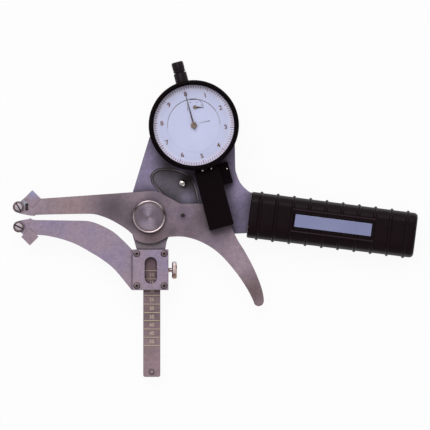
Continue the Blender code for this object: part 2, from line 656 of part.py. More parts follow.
def make_pivot(steel, polished, brass, black):
    shank = PIVOT_SHANK_R
    top = KNOB_BACK + KNOB_HEIGHT
    foot = FRAME_BACK - WASHER_THICK - 2 * GAP
    tip = foot - PIVOT_THREAD_LENGTH
    bolt = turned([
        (0, tip), (PIVOT_THREAD_R, tip), (PIVOT_THREAD_R, foot), (shank, foot), (shank, KNOB_BACK),
        (KNOB_R, KNOB_BACK), (KNOB_R, top - KNOB_CHAMFER), (KNOB_FACE_R, top), (0, top),
    ])
    piece("pivot_bolt", bolt, polished)
    bush = turned([
        (shank + GAP, FRAME_BACK), (shank + GAP + BUSH_WALL, FRAME_BACK),
        (shank + GAP + BUSH_WALL, LEVER_FRONT), (shank + GAP, LEVER_FRONT),
    ], sides=HUB_SIDES)
    piece("pivot_bush", bush, brass)
    washer = turned([
        (shank + GAP, FRAME_BACK - GAP), (WASHER_R, FRAME_BACK - GAP),
        (WASHER_R, FRAME_BACK - GAP - WASHER_THICK), (shank + GAP, FRAME_BACK - GAP - WASHER_THICK),
    ], sides=STEM_SIDES)
    piece("pivot_washer", washer, steel)
    boss_top = foot
    floor = tip - GAP
    rim = COVER_R - COVER_WALL
    cover = turned([
        (0, 0), (COVER_R, 0), (COVER_R, COVER_HEIGHT), (rim, COVER_HEIGHT), (rim, COVER_WALL),
        (COVER_BOSS_R, COVER_WALL), (COVER_BOSS_R, boss_top), (PIVOT_THREAD_R + GAP, boss_top),
        (PIVOT_THREAD_R + GAP, floor), (0, floor),
    ], sides=HUB_SIDES)
    notch = block(rim / 2, COVER_R + OVERRUN, LEVER_PIN_Y, LEVER_PIN_Y + COVER_NOTCH_WIDTH,
                  COVER_HEIGHT - COVER_NOTCH_DEPTH, COVER_HEIGHT + OVERRUN)
    piece("pivot_nut_cover", cut(cover, notch), black)


def spring_points():
    """A flat-wound coil round the cover's boss, whose outer leg lies along the lever pin's tail."""
    top = COVER_HEIGHT - SPRING_WIRE_R - 2 * GAP
    leg_y = LEVER_PIN_Y + LEVER_PIN_R + SPRING_WIRE_R + 1.7 * GAP
    start = math.asin(leg_y / SPRING_COIL_R)
    points = [(LEVER_PIN_X + LEVER_PIN_R, leg_y, top), ((LEVER_PIN_X + SPRING_COIL_R) / 2, leg_y, top)]
    for step in range(SPRING_TURNS * SPRING_TURN_POINTS + 1):
        turn = start + math.tau * step / SPRING_TURN_POINTS
        drop = SPRING_PITCH * step / SPRING_TURN_POINTS
        points.append((SPRING_COIL_R * math.cos(turn), SPRING_COIL_R * math.sin(turn), top - drop))
    return points


def least_self_gap(points, wire_r, skip):
    """The least clear distance between stretches of a wire that are more than skip points apart."""
    least = math.inf
    for i, first in enumerate(points):
        for second in points[i + skip:]:
            least = min(least, math.dist(first, second) - 2 * wire_r)
    return least


def make_spring(steel):
    curve = bpy.data.curves.new("return_spring", "CURVE")
    curve.dimensions = "3D"
    curve.bevel_depth = SPRING_WIRE_R
    curve.bevel_resolution = 1
    curve.use_fill_caps = True
    points = spring_points()
    spline = curve.splines.new("POLY")
    spline.points.add(len(points) - 1)
    for point, spot in zip(spline.points, points):
        point.co = (*spot, 1)
    made = bpy.data.objects.new("return_spring", curve)
    made.data.materials.append(steel)
    bpy.context.collection.objects.link(made)
    gap = least_self_gap(points, SPRING_WIRE_R, SPRING_TURN_POINTS // 2)
    print(f"return_spring: least gap to itself {gap / MM:.2f} mm")


def lever_outline():
    arm = ARM_REACH
    top = smooth_run(scaled(ARM_TOP_SHARES, arm))
    crest = scaled(LEVER_CREST_SHARES, TRIGGER_REACH)
    trigger = TRIGGER_OUTER_SHARES + TRIGGER_TIP_SHARES + TRIGGER_INNER_SHARES
    outer = smooth_run(scaled(trigger, TRIGGER_REACH))
    hub = arc((0, 0), HUB_R, -52, -122, 10)
    bottom = smooth_run(scaled(ARM_BOTTOM_SHARES, arm))
    end = arc((-arm, ARM_SCREW_Y), JAW_END_R, 250, 70, 10)
    return top + crest + outer + hub + bottom + end


def diamond(x, y, grow):
    """A square on its corner: the contact tip, or with some growth its pocket."""
    half = TIP_HALF_DIAGONAL + grow * math.sqrt(2)
    return [(x + half, y), (x, y + half), (x - half, y), (x, y - half)]


def jaw_tools(screw_spot, tip_x, tip_y):
    floor = LEVER_FRONT - TIP_POCKET_DEPTH
    low, high = LEVER_BACK - OVERRUN, LEVER_FRONT + OVERRUN
    slit_x = screw_spot[0] + JAW_END_R + CLAMP_SLIT_WIDTH
    slit_y = screw_spot[1]
    return [
        prism(diamond(tip_x, tip_y, GAP), floor, high),
        rod(TIP_SCREW_SHANK_R + GAP, low, high, screw_spot, HOLE_SIDES),
        block(slit_x - CLAMP_SLIT_WIDTH / 2, slit_x + CLAMP_SLIT_WIDTH / 2, slit_y - CLAMP_SLIT_LENGTH / 2,
              slit_y + CLAMP_SLIT_LENGTH / 2, floor, high),
    ]


def jaw_fittings(prefix, screw_spot, tip_x, tip_y, tip_steel, polished, parent):
    floor = LEVER_FRONT - TIP_POCKET_DEPTH
    tip = prism(diamond(tip_x, tip_y, 0), floor + GAP, floor + GAP + TIP_THICK)
    piece(prefix + "_contact_tip", tip, tip_steel, parent, smooth=False)
    seat = LEVER_FRONT + GAP
    shape = screw(screw_spot, seat, seat + TIP_SCREW_HEAD, TIP_SCREW_R, TIP_SCREW_SHANK_R, LEVER_BACK,
                  TIP_SCREW_SLOT, TIP_SCREW_HEAD / 2)
    piece(prefix + "_tip_screw", shape, polished, parent)


def make_lever(steel, tip_steel, polished, carried):
    screw_spot = (-ARM_REACH, ARM_SCREW_Y)
    low, high = LEVER_BACK - OVERRUN, LEVER_FRONT + OVERRUN
    pad_low = LEVER_FRONT - PAD_SEAT_DEPTH
    pad_start = pad_along()
    pad = [gauge_spot(side * PAD_WIDTH / 2, pad_start + step * PAD_LENGTH)
           for side, step in ((-1, 0), (1, 0), (1, 1), (-1, 1))]
    seat = [gauge_spot(side * (PAD_WIDTH / 2 + GAP), pad_start + step * PAD_LENGTH + out * GAP)
            for side, step, out in ((-1, 0, -1), (1, 0, -1), (1, 1, 1), (-1, 1, 1))]
    tools = jaw_tools(screw_spot, UPPER_TIP_X, UPPER_TIP_Y)
    tools += [
        rod(PIVOT_SHANK_R + BUSH_WALL + 2 * GAP, low, high, sides=HUB_SIDES),
        rod(LEVER_PIN_R + GAP, low, high, (LEVER_PIN_X, LEVER_PIN_Y), HOLE_SIDES),
        prism(seat, pad_low, high),
    ]
    piece("lever_plate", cut(prism(lever_outline(), LEVER_BACK, LEVER_FRONT), *tools), steel, carried)
    jaw_fittings("upper", screw_spot, UPPER_TIP_X, UPPER_TIP_Y, tip_steel, polished, carried)
    pin = rod(LEVER_PIN_R, FRAME_BACK - LEVER_PIN_TAIL, LEVER_FRONT, (LEVER_PIN_X, LEVER_PIN_Y), HOLE_SIDES)
    piece("lever_spring_pin", pin, tip_steel, carried)
    block_shape = prism(pad, pad_low + GAP, pad_low + GAP + PAD_HEIGHT + PAD_SEAT_DEPTH)
    piece("spindle_pad", block_shape, tip_steel, carried, smooth=False)


def pad_along():
    """How far down the gauge's axis the pad's face lies: abreast of the pivot."""
    lean = math.radians(GAUGE_TILT)
    return DIAL_Y * math.cos(lean) - DIAL_X * math.sin(lean) + GAP / 2


def window_outline():
    return slot_outline((WINDOW_X, WINDOW_Y), WINDOW_WIDTH, WINDOW_LENGTH)


def slider_bottom():
    return SLIDER_TOP_Y - SLIDER_LENGTH


def cover_screw_spots():
    xs = (SLIDER_LEFT + COVER_SCREW_INSET, SLIDER_RIGHT - COVER_SCREW_INSET)
    ys = (SLIDER_TOP_Y - COVER_SCREW_INSET, slider_bottom() + COVER_SCREW_INSET)
    return [(x, y) for y in ys for x in xs]


def make_slider(steel, cover_steel, tip_steel, polished, black, brass, carried, clamp):
    bottom = slider_bottom()
    back = FRAME_BACK - GAP - SLIDER_BACK
    bar_left, bar_right = BAR_X - BAR_WIDTH / 2 - GAP, BAR_X + BAR_WIDTH / 2
    gib_left = bar_right + GAP
    channel_right = gib_left + GIB_THICK + GAP
    clamp_z = (FRAME_BACK + FRAME_FRONT) / 2
    on_side = Matrix.Translation((0, CLAMP_Y, clamp_z)) @ Matrix.Rotation(math.pi / 2, 4, "Y")
    body = block(SLIDER_LEFT, SLIDER_RIGHT, bottom, SLIDER_TOP_Y, back, FRAME_FRONT)
    tools = [
        block(bar_left, channel_right, bottom - OVERRUN, SLIDER_TOP_Y + OVERRUN, FRAME_BACK - GAP,
              FRAME_FRONT + OVERRUN),
        moved(rod(CLAMP_SHAFT_R + GAP, gib_left, SLIDER_RIGHT + OVERRUN, sides=HOLE_SIDES), on_side),
    ]
    screw_foot = LEVER_FRONT + GAP + SLIDER_COVER_THICK - COVER_SCREW_HEAD - COVER_SCREW_LENGTH
    for spot in cover_screw_spots():
        tools.append(rod(COVER_SCREW_SHANK_R + GAP, screw_foot - GAP, FRAME_FRONT + OVERRUN, spot,
                         HOLE_SIDES))
    piece("slider_body", cut(body, *tools), steel, carried, smooth=False)
    gib_right = gib_left + GIB_THICK
    gib = block(gib_left, gib_right, bottom + GAP, SLIDER_TOP_Y - GAP, FRAME_BACK, FRAME_FRONT - GAP)
    piece("slider_gib", gib, brass, carried, smooth=False)
    make_lower_jaw(steel, tip_steel, polished, carried)
    low = LEVER_FRONT + GAP
    top = low + SLIDER_COVER_THICK
    cover = block(SLIDER_LEFT, SLIDER_RIGHT, bottom, SLIDER_TOP_Y, low, top)
    rim = [edge for edge in cover.edges if all(abs(v.co.z - top) < WELD for v in edge.verts)]
    bmesh.ops.bevel(cover, geom=rim, offset=SLIDER_COVER_BEVEL, segments=1, affect="EDGES", profile=0.5)
    tools = [prism(window_outline(), low - OVERRUN, top + OVERRUN)]
    for spot in cover_screw_spots():
        tools.append(rod(COVER_SCREW_SHANK_R + GAP, low - OVERRUN, top + OVERRUN, spot, HOLE_SIDES))
        seat = top - COVER_SCREW_HEAD - GAP
        tools.append(rod(COVER_SCREW_R + GAP, seat, top + OVERRUN, spot, SCREW_SIDES))
    piece("slider_cover", cut(cover, *tools), cover_steel, carried, smooth=False)
    for number, spot in enumerate(cover_screw_spots()):
        shape = screw(spot, top - COVER_SCREW_HEAD, top, COVER_SCREW_R, COVER_SCREW_SHANK_R, screw_foot,
                      COVER_SCREW_R, COVER_SCREW_HEAD / 2, hexagon=True)
        piece("slider_cover_screw_" + "abcd"[number], shape, black, carried)
    knob_start = SLIDER_RIGHT + CLAMP_STAND
    knob_end = knob_start + CLAMP_KNOB_WIDTH
    knob_r = CLAMP_KNOB_R
    waist = knob_r - CLAMP_WAIST
    tip = gib_right + GAP
    thumb = turned([
        (0, tip), (CLAMP_SHAFT_R, tip), (CLAMP_SHAFT_R, knob_start), (waist, knob_start),
        (knob_r, knob_start + CLAMP_WAIST), (knob_r, knob_end - CLAMP_WAIST), (waist, knob_end),
        (0, knob_end),
    ], sides=STEM_SIDES)
    piece("slider_clamp_screw", moved(thumb, on_side), polished, clamp)


def make_lower_jaw(steel, tip_steel, polished, carried):
    reach = LOWER_REACH
    screw_spot = (-reach, LOWER_SCREW_Y)
    bottom = slider_bottom()
    shoulder = (SLIDER_LEFT, SLIDER_TOP_Y - SLIDER_COVER_BEVEL)
    top_run = smooth_run(scaled(LOWER_TOP_SHARES, reach) + [shoulder])
    root = [(SLIDER_LEFT, SLIDER_TOP_Y), (SLIDER_RIGHT, SLIDER_TOP_Y), (SLIDER_RIGHT, bottom),
            (SLIDER_LEFT, bottom)]
    low_run = smooth_run(scaled(LOWER_BOTTOM_SHARES, reach))
    end = arc(screw_spot, JAW_END_R, 290, 110, 10)
    outline = top_run + root + low_run + end
    tools = jaw_tools(screw_spot, LOWER_TIP_X, LOWER_TIP_Y)
    low, high = LEVER_BACK - OVERRUN, LEVER_FRONT + OVERRUN
    tools.append(prism(window_outline(), low, high))
    for spot in cover_screw_spots():
        tools.append(rod(COVER_SCREW_SHANK_R + GAP, low, high, spot, HOLE_SIDES))
    piece("lower_jaw", cut(prism(outline, LEVER_BACK, LEVER_FRONT), *tools), steel, carried)
    jaw_fittings("lower", screw_spot, LOWER_TIP_X, LOWER_TIP_Y, tip_steel, polished, carried)


def ear_screw_spot():
    return gauge_spot(EAR_SCREW_ASIDE, EAR_SCREW_ALONG)


def ear_screw_foot():
    return CASE_BACK + EAR_HEIGHT - EAR_SCREW_LENGTH


def gear_spot():
    return gauge_spot(PINION_ASIDE, -PINION_ALONG)


def hairspring_spot():
    reach = (HAIRSPRING_TEETH + CENTRE_PINION_TEETH) * WHEEL_MODULE / 2
    turn = math.radians(HAIRSPRING_TURN)
    return gauge_spot(reach * math.sin(turn), -reach * math.cos(turn))


def back_screw_spots():
    pitch = 360 / BACK_SCREW_COUNT
    first = GAUGE_TILT + 90 + pitch / 2
    return arc((DIAL_X, DIAL_Y), BACK_SCREW_RING, first, first + 360 - pitch, BACK_SCREW_COUNT - 1)


def make_case(painted, steel, black):
    centre = (DIAL_X, DIAL_Y)
    back_top = CASE_BACK + CASE_BACK_THICK
    inner = CASE_BORE_R
    profile = [(inner, CASE_BACK), (CASE_R, CASE_BACK), (CASE_R, CASE_TOP), (inner, CASE_TOP)]
    wall = turned(profile, centre, DIAL_SIDES)
    lug_top = back_top + CASE_LUG_HEIGHT
    lugs = [rod(CASE_LUG_R, back_top + GAP, lug_top, spot, HOLE_SIDES) for spot in back_screw_spots()]
    through = moved(rod(STEM_R + GAP, -CASE_R - OVERRUN, CASE_R + OVERRUN, sides=STEM_SIDES), gauge_axis())
    tools = [through]
    for spot in back_screw_spots():
        tools.append(rod(SMALL_SCREW_SHANK_R + GAP, CASE_BACK, lug_top - 2 * GAP, spot, HOLE_SIDES))
    piece("gauge_case", cut(join(wall, *lugs), *tools), painted)
    back = rod(inner - GAP, CASE_BACK, back_top, centre, DIAL_SIDES)
    tools = []
    for spot in back_screw_spots():
        under = CASE_BACK - OVERRUN
        tools.append(rod(SMALL_SCREW_SHANK_R + GAP, under, back_top + OVERRUN, spot, HOLE_SIDES))
        tools.append(rod(SMALL_SCREW_R + GAP, under, CASE_BACK + SMALL_SCREW_SINK, spot, HOLE_SIDES))
    piece("gauge_case_back", cut(back, *tools), painted)
    for number, spot in enumerate(back_screw_spots()):
        shape = rear_screw(spot, CASE_BACK + SMALL_SCREW_SINK - GAP, CASE_BACK, SMALL_SCREW_R,
                           SMALL_SCREW_SHANK_R, lug_top - 3 * GAP, SMALL_SCREW_SHANK_R)
        piece("case_back_screw_" + "abcd"[number], shape, black)
    start = inner + GAP
    bore = SPINDLE_R + GAP
    stem_end = pad_along() - STEM_CLEAR
    profile = [(bore, -stem_end), (STEM_R, -stem_end), (STEM_R, -start), (bore, -start)]
    stem = turned(profile, sides=STEM_SIDES)
    piece("gauge_stem", moved(stem, gauge_axis()), steel)
    collar_bore = (bore + COLLAR_R) / 2
    collar = turned([
        (bore, start), (COLLAR_R, start), (COLLAR_R, COLLAR_REACH), (collar_bore, COLLAR_REACH),
        (collar_bore, CASE_R + GAP), (bore, CASE_R + GAP),
    ], sides=STEM_SIDES)
    piece("gauge_collar", moved(collar, gauge_axis()), painted)
    spigot = collar_bore - GAP
    roof = CAP_REACH - CAP_WALL
    cap = turned([
        (bore, CASE_R + 2 * GAP), (spigot, CASE_R + 2 * GAP), (spigot, COLLAR_REACH + GAP),
        (CAP_R, COLLAR_REACH + GAP), (CAP_R, CAP_REACH - CAP_ROUND),
        (CAP_R - CAP_ROUND, CAP_REACH), (0, CAP_REACH), (0, roof), (bore, roof),
    ], sides=STEM_SIDES)
    piece("gauge_cap", moved(cap, gauge_axis()), painted)


def make_movement(brass, steel):
    centre = (DIAL_X, DIAL_Y)
    low = CASE_BACK + CASE_BACK_THICK + GAP
    arbor_spots = [gear_spot(), hairspring_spot()]
    rear = rod(REAR_PLATE_R, low, low + PLATE_THICK, centre, DIAL_SIDES)
    pillars = []
    for turn in PILLAR_TURNS:
        away = math.radians(turn)
        spot = gauge_spot(PILLAR_RING * math.sin(away), -PILLAR_RING * math.cos(away))
        pillars.append(rod(PILLAR_R, low + PLATE_THICK / 2, FRONT_PLATE_LOW - GAP, spot, HOLE_SIDES))
    holes = [rod(ARBOR_R + RUNNING, low - OVERRUN, low + PLATE_THICK + OVERRUN, spot, HOLE_SIDES)
             for spot in arbor_spots]
    piece("movement_rear_plate", cut(join(rear, *pillars), *holes), brass)
    front_top = FRONT_PLATE_LOW + PLATE_THICK
    front = rod(CASE_BORE_R - GAP, FRONT_PLATE_LOW, front_top, centre, DIAL_SIDES)
    holes = [rod(ARBOR_R + RUNNING, FRONT_PLATE_LOW - OVERRUN, front_top + OVERRUN, spot, HOLE_SIDES)
             for spot in arbor_spots + [centre]]
    piece("movement_front_plate", cut(front, *holes), brass)
    ring = turned([
        (HAIRSPRING_R / 3, GEAR_LOW + GEAR_THICK + GAP), (HAIRSPRING_R, GEAR_LOW + GEAR_THICK + GAP),
        (HAIRSPRING_R, GEAR_LOW + GEAR_THICK + GAP + HAIRSPRING_THICK),
        (HAIRSPRING_R / 3, GEAR_LOW + GEAR_THICK + GAP + HAIRSPRING_THICK),
    ], hairspring_spot(), STEM_SIDES)
    piece("hairspring", ring, steel)


def arbor_with_gear(spot, teeth, low, high, foot, head):
    arbor = rod(ARBOR_R, foot, head, spot, HOLE_SIDES)
    return join(arbor, prism(gear_outline(teeth, WHEEL_MODULE, spot), low, high))


def make_gears(brass, steel, gear_body, centre_body, hairspring_body):
    foot = CASE_BACK + CASE_BACK_THICK + 2 * GAP
    top = GEAR_LOW + GEAR_THICK
    gear = arbor_with_gear(gear_spot(), BIG_GEAR_TEETH, GEAR_LOW, top, foot, SMALL_HAND_LOW - GAP)
    rim = gear_outline(RACK_PINION_TEETH, RACK_MODULE, gear_spot())
    pinion = prism(rim, SPINDLE_Z - SPINDLE_R, SPINDLE_Z + SPINDLE_R)
    piece("rack_pinion_gear", join(gear, pinion), brass, gear_body, smooth=False)
    pinion = arbor_with_gear((DIAL_X, DIAL_Y), CENTRE_PINION_TEETH, GEAR_LOW, top + GAP, GEAR_LOW,
                             MAIN_HAND_LOW - GAP)
    piece("centre_pinion", pinion, steel, centre_body, smooth=False)
    wheel = arbor_with_gear(hairspring_spot(), HAIRSPRING_TEETH, GEAR_LOW, top, GEAR_LOW - GEAR_THICK / 2,
                            FRONT_PLATE_LOW + PLATE_THICK)
    piece("hairspring_gear", wheel, brass, hairspring_body, smooth=False)


def hand(spot, turn, length, tail, hub_r, width, low, hub_top):
    """A hand whose blade narrows from its hub to its tip; turn is in degrees from +X."""
    blade = prism([(-tail, width / 2), (-tail, -width / 2), (0, -width), (length, -width / 6),
                   (length, width / 6), (0, width)], low, low + HAND_THICK)
    bm = join(rod(hub_r, low, hub_top), blade)
    return moved(bm, Matrix.Translation((*spot, 0)) @ Matrix.Rotation(math.radians(turn), 4, "Z"))


def make_dial(paper, black, clear, rim, gear_body, centre_body, bezel_body):
    centre = (DIAL_X, DIAL_Y)
    low = DIAL_LOW - RING_STAND
    disc = rod(DIAL_STEP_R - GAP / 2, low, low + DIAL_THICK, centre, DIAL_SIDES)
    reach = DIAL_STEP_R * 0.8
    feet = [rod(DIAL_FOOT_R, FRONT_PLATE_LOW + PLATE_THICK + GAP, low + DIAL_THICK / 2,
                gauge_spot(side * reach, 0), HOLE_SIDES) for side in (-1, 1)]
    holes = [rod(ARBOR_R + GAP, low - OVERRUN, low + DIAL_THICK + OVERRUN, spot, HOLE_SIDES)
             for spot in (centre, gear_spot())]
    piece("dial_centre", cut(join(disc, *feet), *holes), paper)
    seat = CASE_R - GAP
    ring = turned([
        (DIAL_STEP_R + GAP / 2, DIAL_LOW), (seat - GAP, DIAL_LOW), (seat - GAP, DIAL_LOW + DIAL_THICK),
        (DIAL_STEP_R + GAP / 2, DIAL_LOW + DIAL_THICK),
    ], centre, DIAL_SIDES)
    piece("dial_ring", ring, paper, bezel_body)
    lip = BEZEL_TOP - BEZEL_LIP
    glass_top = lip - GAP
    glass_low = glass_top - CRYSTAL_THICK
    glass_r = seat + 2 * GAP
    piece("crystal", rod(glass_r, glass_low, glass_top, centre, DIAL_SIDES), clear, bezel_body)
    outline = [
        (CASE_R + GAP, BEZEL_LOW), (BEZEL_R - BEZEL_CHAMFER / 2, BEZEL_LOW),
        (BEZEL_R, BEZEL_LOW + BEZEL_CHAMFER / 2), (BEZEL_R, BEZEL_TOP - BEZEL_CHAMFER),
        (BEZEL_R - BEZEL_CHAMFER, BEZEL_TOP), (BEZEL_OPENING_R + BEZEL_CHAMFER, BEZEL_TOP),
        (BEZEL_OPENING_R, BEZEL_TOP - BEZEL_CHAMFER), (BEZEL_OPENING_R, lip), (glass_r + GAP, lip),
        (glass_r + GAP, glass_low - GAP), (seat, glass_low - GAP), (seat, CASE_TOP + GAP),
        (CASE_R + GAP, CASE_TOP + GAP),
    ]
    piece("bezel", turned(outline, centre, DIAL_SIDES), rim, bezel_body)
    small = hand(gear_spot(), 0, SMALL_HAND_LENGTH, 0, SMALL_HUB_R, SMALL_HAND_WIDTH, SMALL_HAND_LOW,
                 SMALL_HAND_LOW + HAND_THICK + GAP)
    piece("small_hand", small, black, gear_body, smooth=False)
    main = hand(centre, 90 + GAUGE_TILT, MAIN_HAND_LENGTH, MAIN_HAND_TAIL, MAIN_HUB_R, MAIN_HAND_WIDTH,
                MAIN_HAND_LOW, MAIN_HAND_LOW + HAND_THICK + GAP)
    piece("main_hand", main, black, centre_body, smooth=False)


def rack_comb():
    """The cutter that leaves the rack's teeth on the spindle's +aside flank."""
    pitch = RACK_PITCH
    flank = SPINDLE_R - RACK_BITE
    teeth = round(RACK_LENGTH / pitch)
    start = -PINION_ALONG - teeth * pitch / 2
    edge = []
    for tooth in range(teeth + 1):
        along = start + tooth * pitch
        edge += [(flank - RACK_MODULE, along), (flank, along + pitch / 2)]
    outer = SPINDLE_R + OVERRUN
    outline = [gauge_spot(aside, along) for aside, along in edge + [(outer, edge[-1][1]), (outer, start)]]
    return prism(outline, SPINDLE_Z - SPINDLE_R - OVERRUN, SPINDLE_Z + SPINDLE_R + OVERRUN)


def make_spindle(steel, tip_steel, carried):
    tip = pad_along() - GAP
    foot = tip - POINT_LENGTH
    shaft = moved(rod(SPINDLE_R, -foot + GAP, SPINDLE_TOP), gauge_axis())
    piece("spindle", cut(shaft, rack_comb()), steel, carried)
    point = turned([
        (0, -tip), (POINT_R * 0.5, -tip + POINT_R * 0.15), (POINT_R * 0.85, -tip + POINT_R * 0.5),
        (POINT_R, -tip + POINT_R), (POINT_R, -foot), (0, -foot),
    ], sides=STEM_SIDES)
    piece("contact_point", moved(point, gauge_axis()), tip_steel, carried)


def gauge_block(left, right, start, end, low, high):
    corners = ((left, end), (right, end), (right, start), (left, start))
    return prism([gauge_spot(aside, along) for aside, along in corners], low, high)


def make_holder(black, fastener):
    left, right = HOLDER_ASIDE - HOLDER_WIDTH / 2, HOLDER_ASIDE + HOLDER_WIDTH / 2
    low, high = CASE_BACK, CASE_BACK + HOLDER_HEIGHT
    body = gauge_block(left, right, HOLDER_START, HOLDER_END, low, high)
    neck = gauge_block(left + OVERRUN, right - OVERRUN, CASE_R + 2 * GAP, HOLDER_START + OVERRUN,
                       low + GAP, BEZEL_LOW - GAP)
    ear = gauge_block(right - 2 * OVERRUN, EAR_ASIDE, EAR_START, EAR_END, low, low + EAR_HEIGHT)
    ear_top = low + EAR_HEIGHT
    cavity_left = HOLDER_ASIDE - HOLDER_CAVITY_WIDTH / 2
    cavity_right = HOLDER_ASIDE + HOLDER_CAVITY_WIDTH / 2
    stem_end = pad_along() - STEM_CLEAR
    bore = rod(STEM_R + GAP, -stem_end - OVERRUN, -CASE_R + OVERRUN, sides=STEM_SIDES)
    tools = [
        moved(bore, gauge_axis()),
        gauge_block(cavity_left, cavity_right, stem_end + GAP, HOLDER_CAVITY_END, low - OVERRUN,
                    high - HOLDER_LID),
        gauge_block(left - OVERRUN, right + OVERRUN, HOLDER_STEP, HOLDER_END + OVERRUN, low - OVERRUN,
                    LEVER_FRONT + GAP),
        rod(SMALL_SCREW_SHANK_R + GAP, low - OVERRUN, ear_top + OVERRUN, ear_screw_spot(), HOLE_SIDES),
        rod(EAR_SCREW_R + GAP, ear_top - EAR_SCREW_HEAD, ear_top + OVERRUN, ear_screw_spot(), SCREW_SIDES),
    ]
    spots = [gauge_spot(HOLDER_ASIDE + side * HOLDER_SCREW_ASIDE, HOLDER_SCREW_ALONG) for side in (-1, 1)]
    seat = FRAME_BACK - GAP
    for spot in spots:
        tip = seat + HOLDER_SCREW_LENGTH
        tools.append(rod(HOLDER_SCREW_SHANK_R + GAP, low - OVERRUN, tip + GAP, spot, HOLE_SIDES))
    piece("gauge_holder", cut(join(body, neck, ear), *tools), black, smooth=False)
    for number, spot in enumerate(spots):
        shape = rear_screw(spot, seat, seat - HOLDER_SCREW_HEAD, HOLDER_SCREW_R, HOLDER_SCREW_SHANK_R,
                           seat + HOLDER_SCREW_LENGTH, HOLDER_SCREW_SHANK_R / 2)
        piece("holder_screw_" + "ab"[number], shape, fastener)
    shape = screw(ear_screw_spot(), ear_top - EAR_SCREW_HEAD + GAP, ear_top, EAR_SCREW_R, SMALL_SCREW_SHANK_R,
                  ear_screw_foot(), SMALL_SCREW_SHANK_R, EAR_SCREW_HEAD / 3)
    piece("holder_ear_screw", shape, fastener)


def grip_stations():
    """Places along the grip, each with how far its skin stands out there."""
    stations = [(0, -RIB_HEIGHT / 2), (RIB_HEIGHT / 2, 0)]
    for rib in range(RIB_COUNT):
        middle = RIB_FIRST + rib * RIB_PITCH
        stations += [(middle - RIB_WIDTH / 2, 0), (middle - RIB_TOP / 2, RIB_HEIGHT),
                     (middle + RIB_TOP / 2, RIB_HEIGHT), (middle + RIB_WIDTH / 2, 0)]
    round_end = GRIP_END_ROUND
    return stations + [(GRIP_LENGTH - round_end, 0), (GRIP_LENGTH - round_end * 0.3, -round_end * 0.3),
                       (GRIP_LENGTH, -round_end)]


def grip_shell(side):
    """One half of the grip, solid: side 1 is the front half, -1 the rear half."""
    bm = bmesh.new()
    rings = []
    split = GRIP_SPLIT + side * GAP / 2
    for along, out in grip_stations():
        half = GRIP_HALF_WIDTH - GRIP_TAPER * along / GRIP_LENGTH + out
        flat = GRIP_FLAT_HALF + out / 2
        side_z = split + side * GRIP_SIDE_HEIGHT
        top_z = GRIP_SPLIT + side * (GRIP_THICK / 2 - RIB_HEIGHT + out)
        shoulder = ((half * 2 + flat) / 3, (side_z + top_z * 2) / 3)
        section = [(half, split), (half, side_z), shoulder, (flat, top_z)]
        section += [(-across, z) for across, z in reversed(section)]
        rings.append([bm.verts.new((*grip_spot(along, across), z)) for across, z in section])
    count = len(rings[0])
    for first, second in zip(rings, rings[1:]):
        for i in range(count):
            j = (i + 1) % count
            bm.faces.new((first[i], first[j], second[j], second[i]))
    bm.faces.new(rings[0])
    bm.faces.new(list(reversed(rings[-1])))
    bmesh.ops.recalc_face_normals(bm, faces=bm.faces)
    return bm


def grip_block(start, end, half_width, low, high):
    spots = [grip_spot(start, -half_width), grip_spot(end, -half_width), grip_spot(end, half_width),
             grip_spot(start, half_width)]
    return prism(spots, low, high)


def make_grip(rubber, plate_finish, fastener):
    tang = grip_block(-OVERRUN, TANG_LENGTH + GAP, TANG_WIDTH / 2 + GAP, FRAME_BACK - GAP, FRAME_FRONT + GAP)
    face = GRIP_THICK
    plate_start = NAME_PLATE_ALONG - NAME_PLATE_LENGTH / 2
    plate_end = NAME_PLATE_ALONG + NAME_PLATE_LENGTH / 2
    panel_start = NAME_PLATE_ALONG - PANEL_LENGTH / 2
    panel = grip_block(panel_start, panel_start + PANEL_LENGTH, PANEL_WIDTH / 2, face - 3 * RIB_HEIGHT, face)
    tools = [tang.copy(), grip_block(plate_start - GAP, plate_end + GAP, NAME_PLATE_WIDTH / 2 + GAP,
                                     face - NAME_PLATE_THICK - GAP, face + OVERRUN)]
    tip = GRIP_SCREW_SINK + GRIP_SCREW_HEAD + GRIP_SCREW_LENGTH
    for spot in grip_screw_spots():
        tools.append(rod(GRIP_SCREW_SHANK_R + GAP, 0, tip + GAP, spot, HOLE_SIDES))
    piece("grip_front_half", cut(join(grip_shell(1), panel), *tools), rubber, smooth=False)
    tools = [tang]
    for spot in grip_screw_spots():
        tools.append(rod(GRIP_SCREW_SHANK_R + GAP, 0, GRIP_THICK, spot, HOLE_SIDES))
        seat = GRIP_SCREW_SINK + GRIP_SCREW_HEAD
        tools.append(rod(GRIP_SCREW_R + GAP, -OVERRUN, seat + GAP, spot, SCREW_SIDES))
    piece("grip_rear_half", cut(grip_shell(-1), *tools), rubber, smooth=False)
    plate = grip_block(plate_start, plate_end, NAME_PLATE_WIDTH / 2, face - NAME_PLATE_THICK, face)
    piece("name_plate", plate, plate_finish, smooth=False)
    for number, spot in enumerate(grip_screw_spots()):
        seat = GRIP_SCREW_SINK + GRIP_SCREW_HEAD
        shape = rear_screw(spot, seat, GRIP_SCREW_SINK, GRIP_SCREW_R, GRIP_SCREW_SHANK_R, tip, GRIP_SCREW_R / 3)
        piece("grip_screw_" + "abc"[number], shape, fastener)


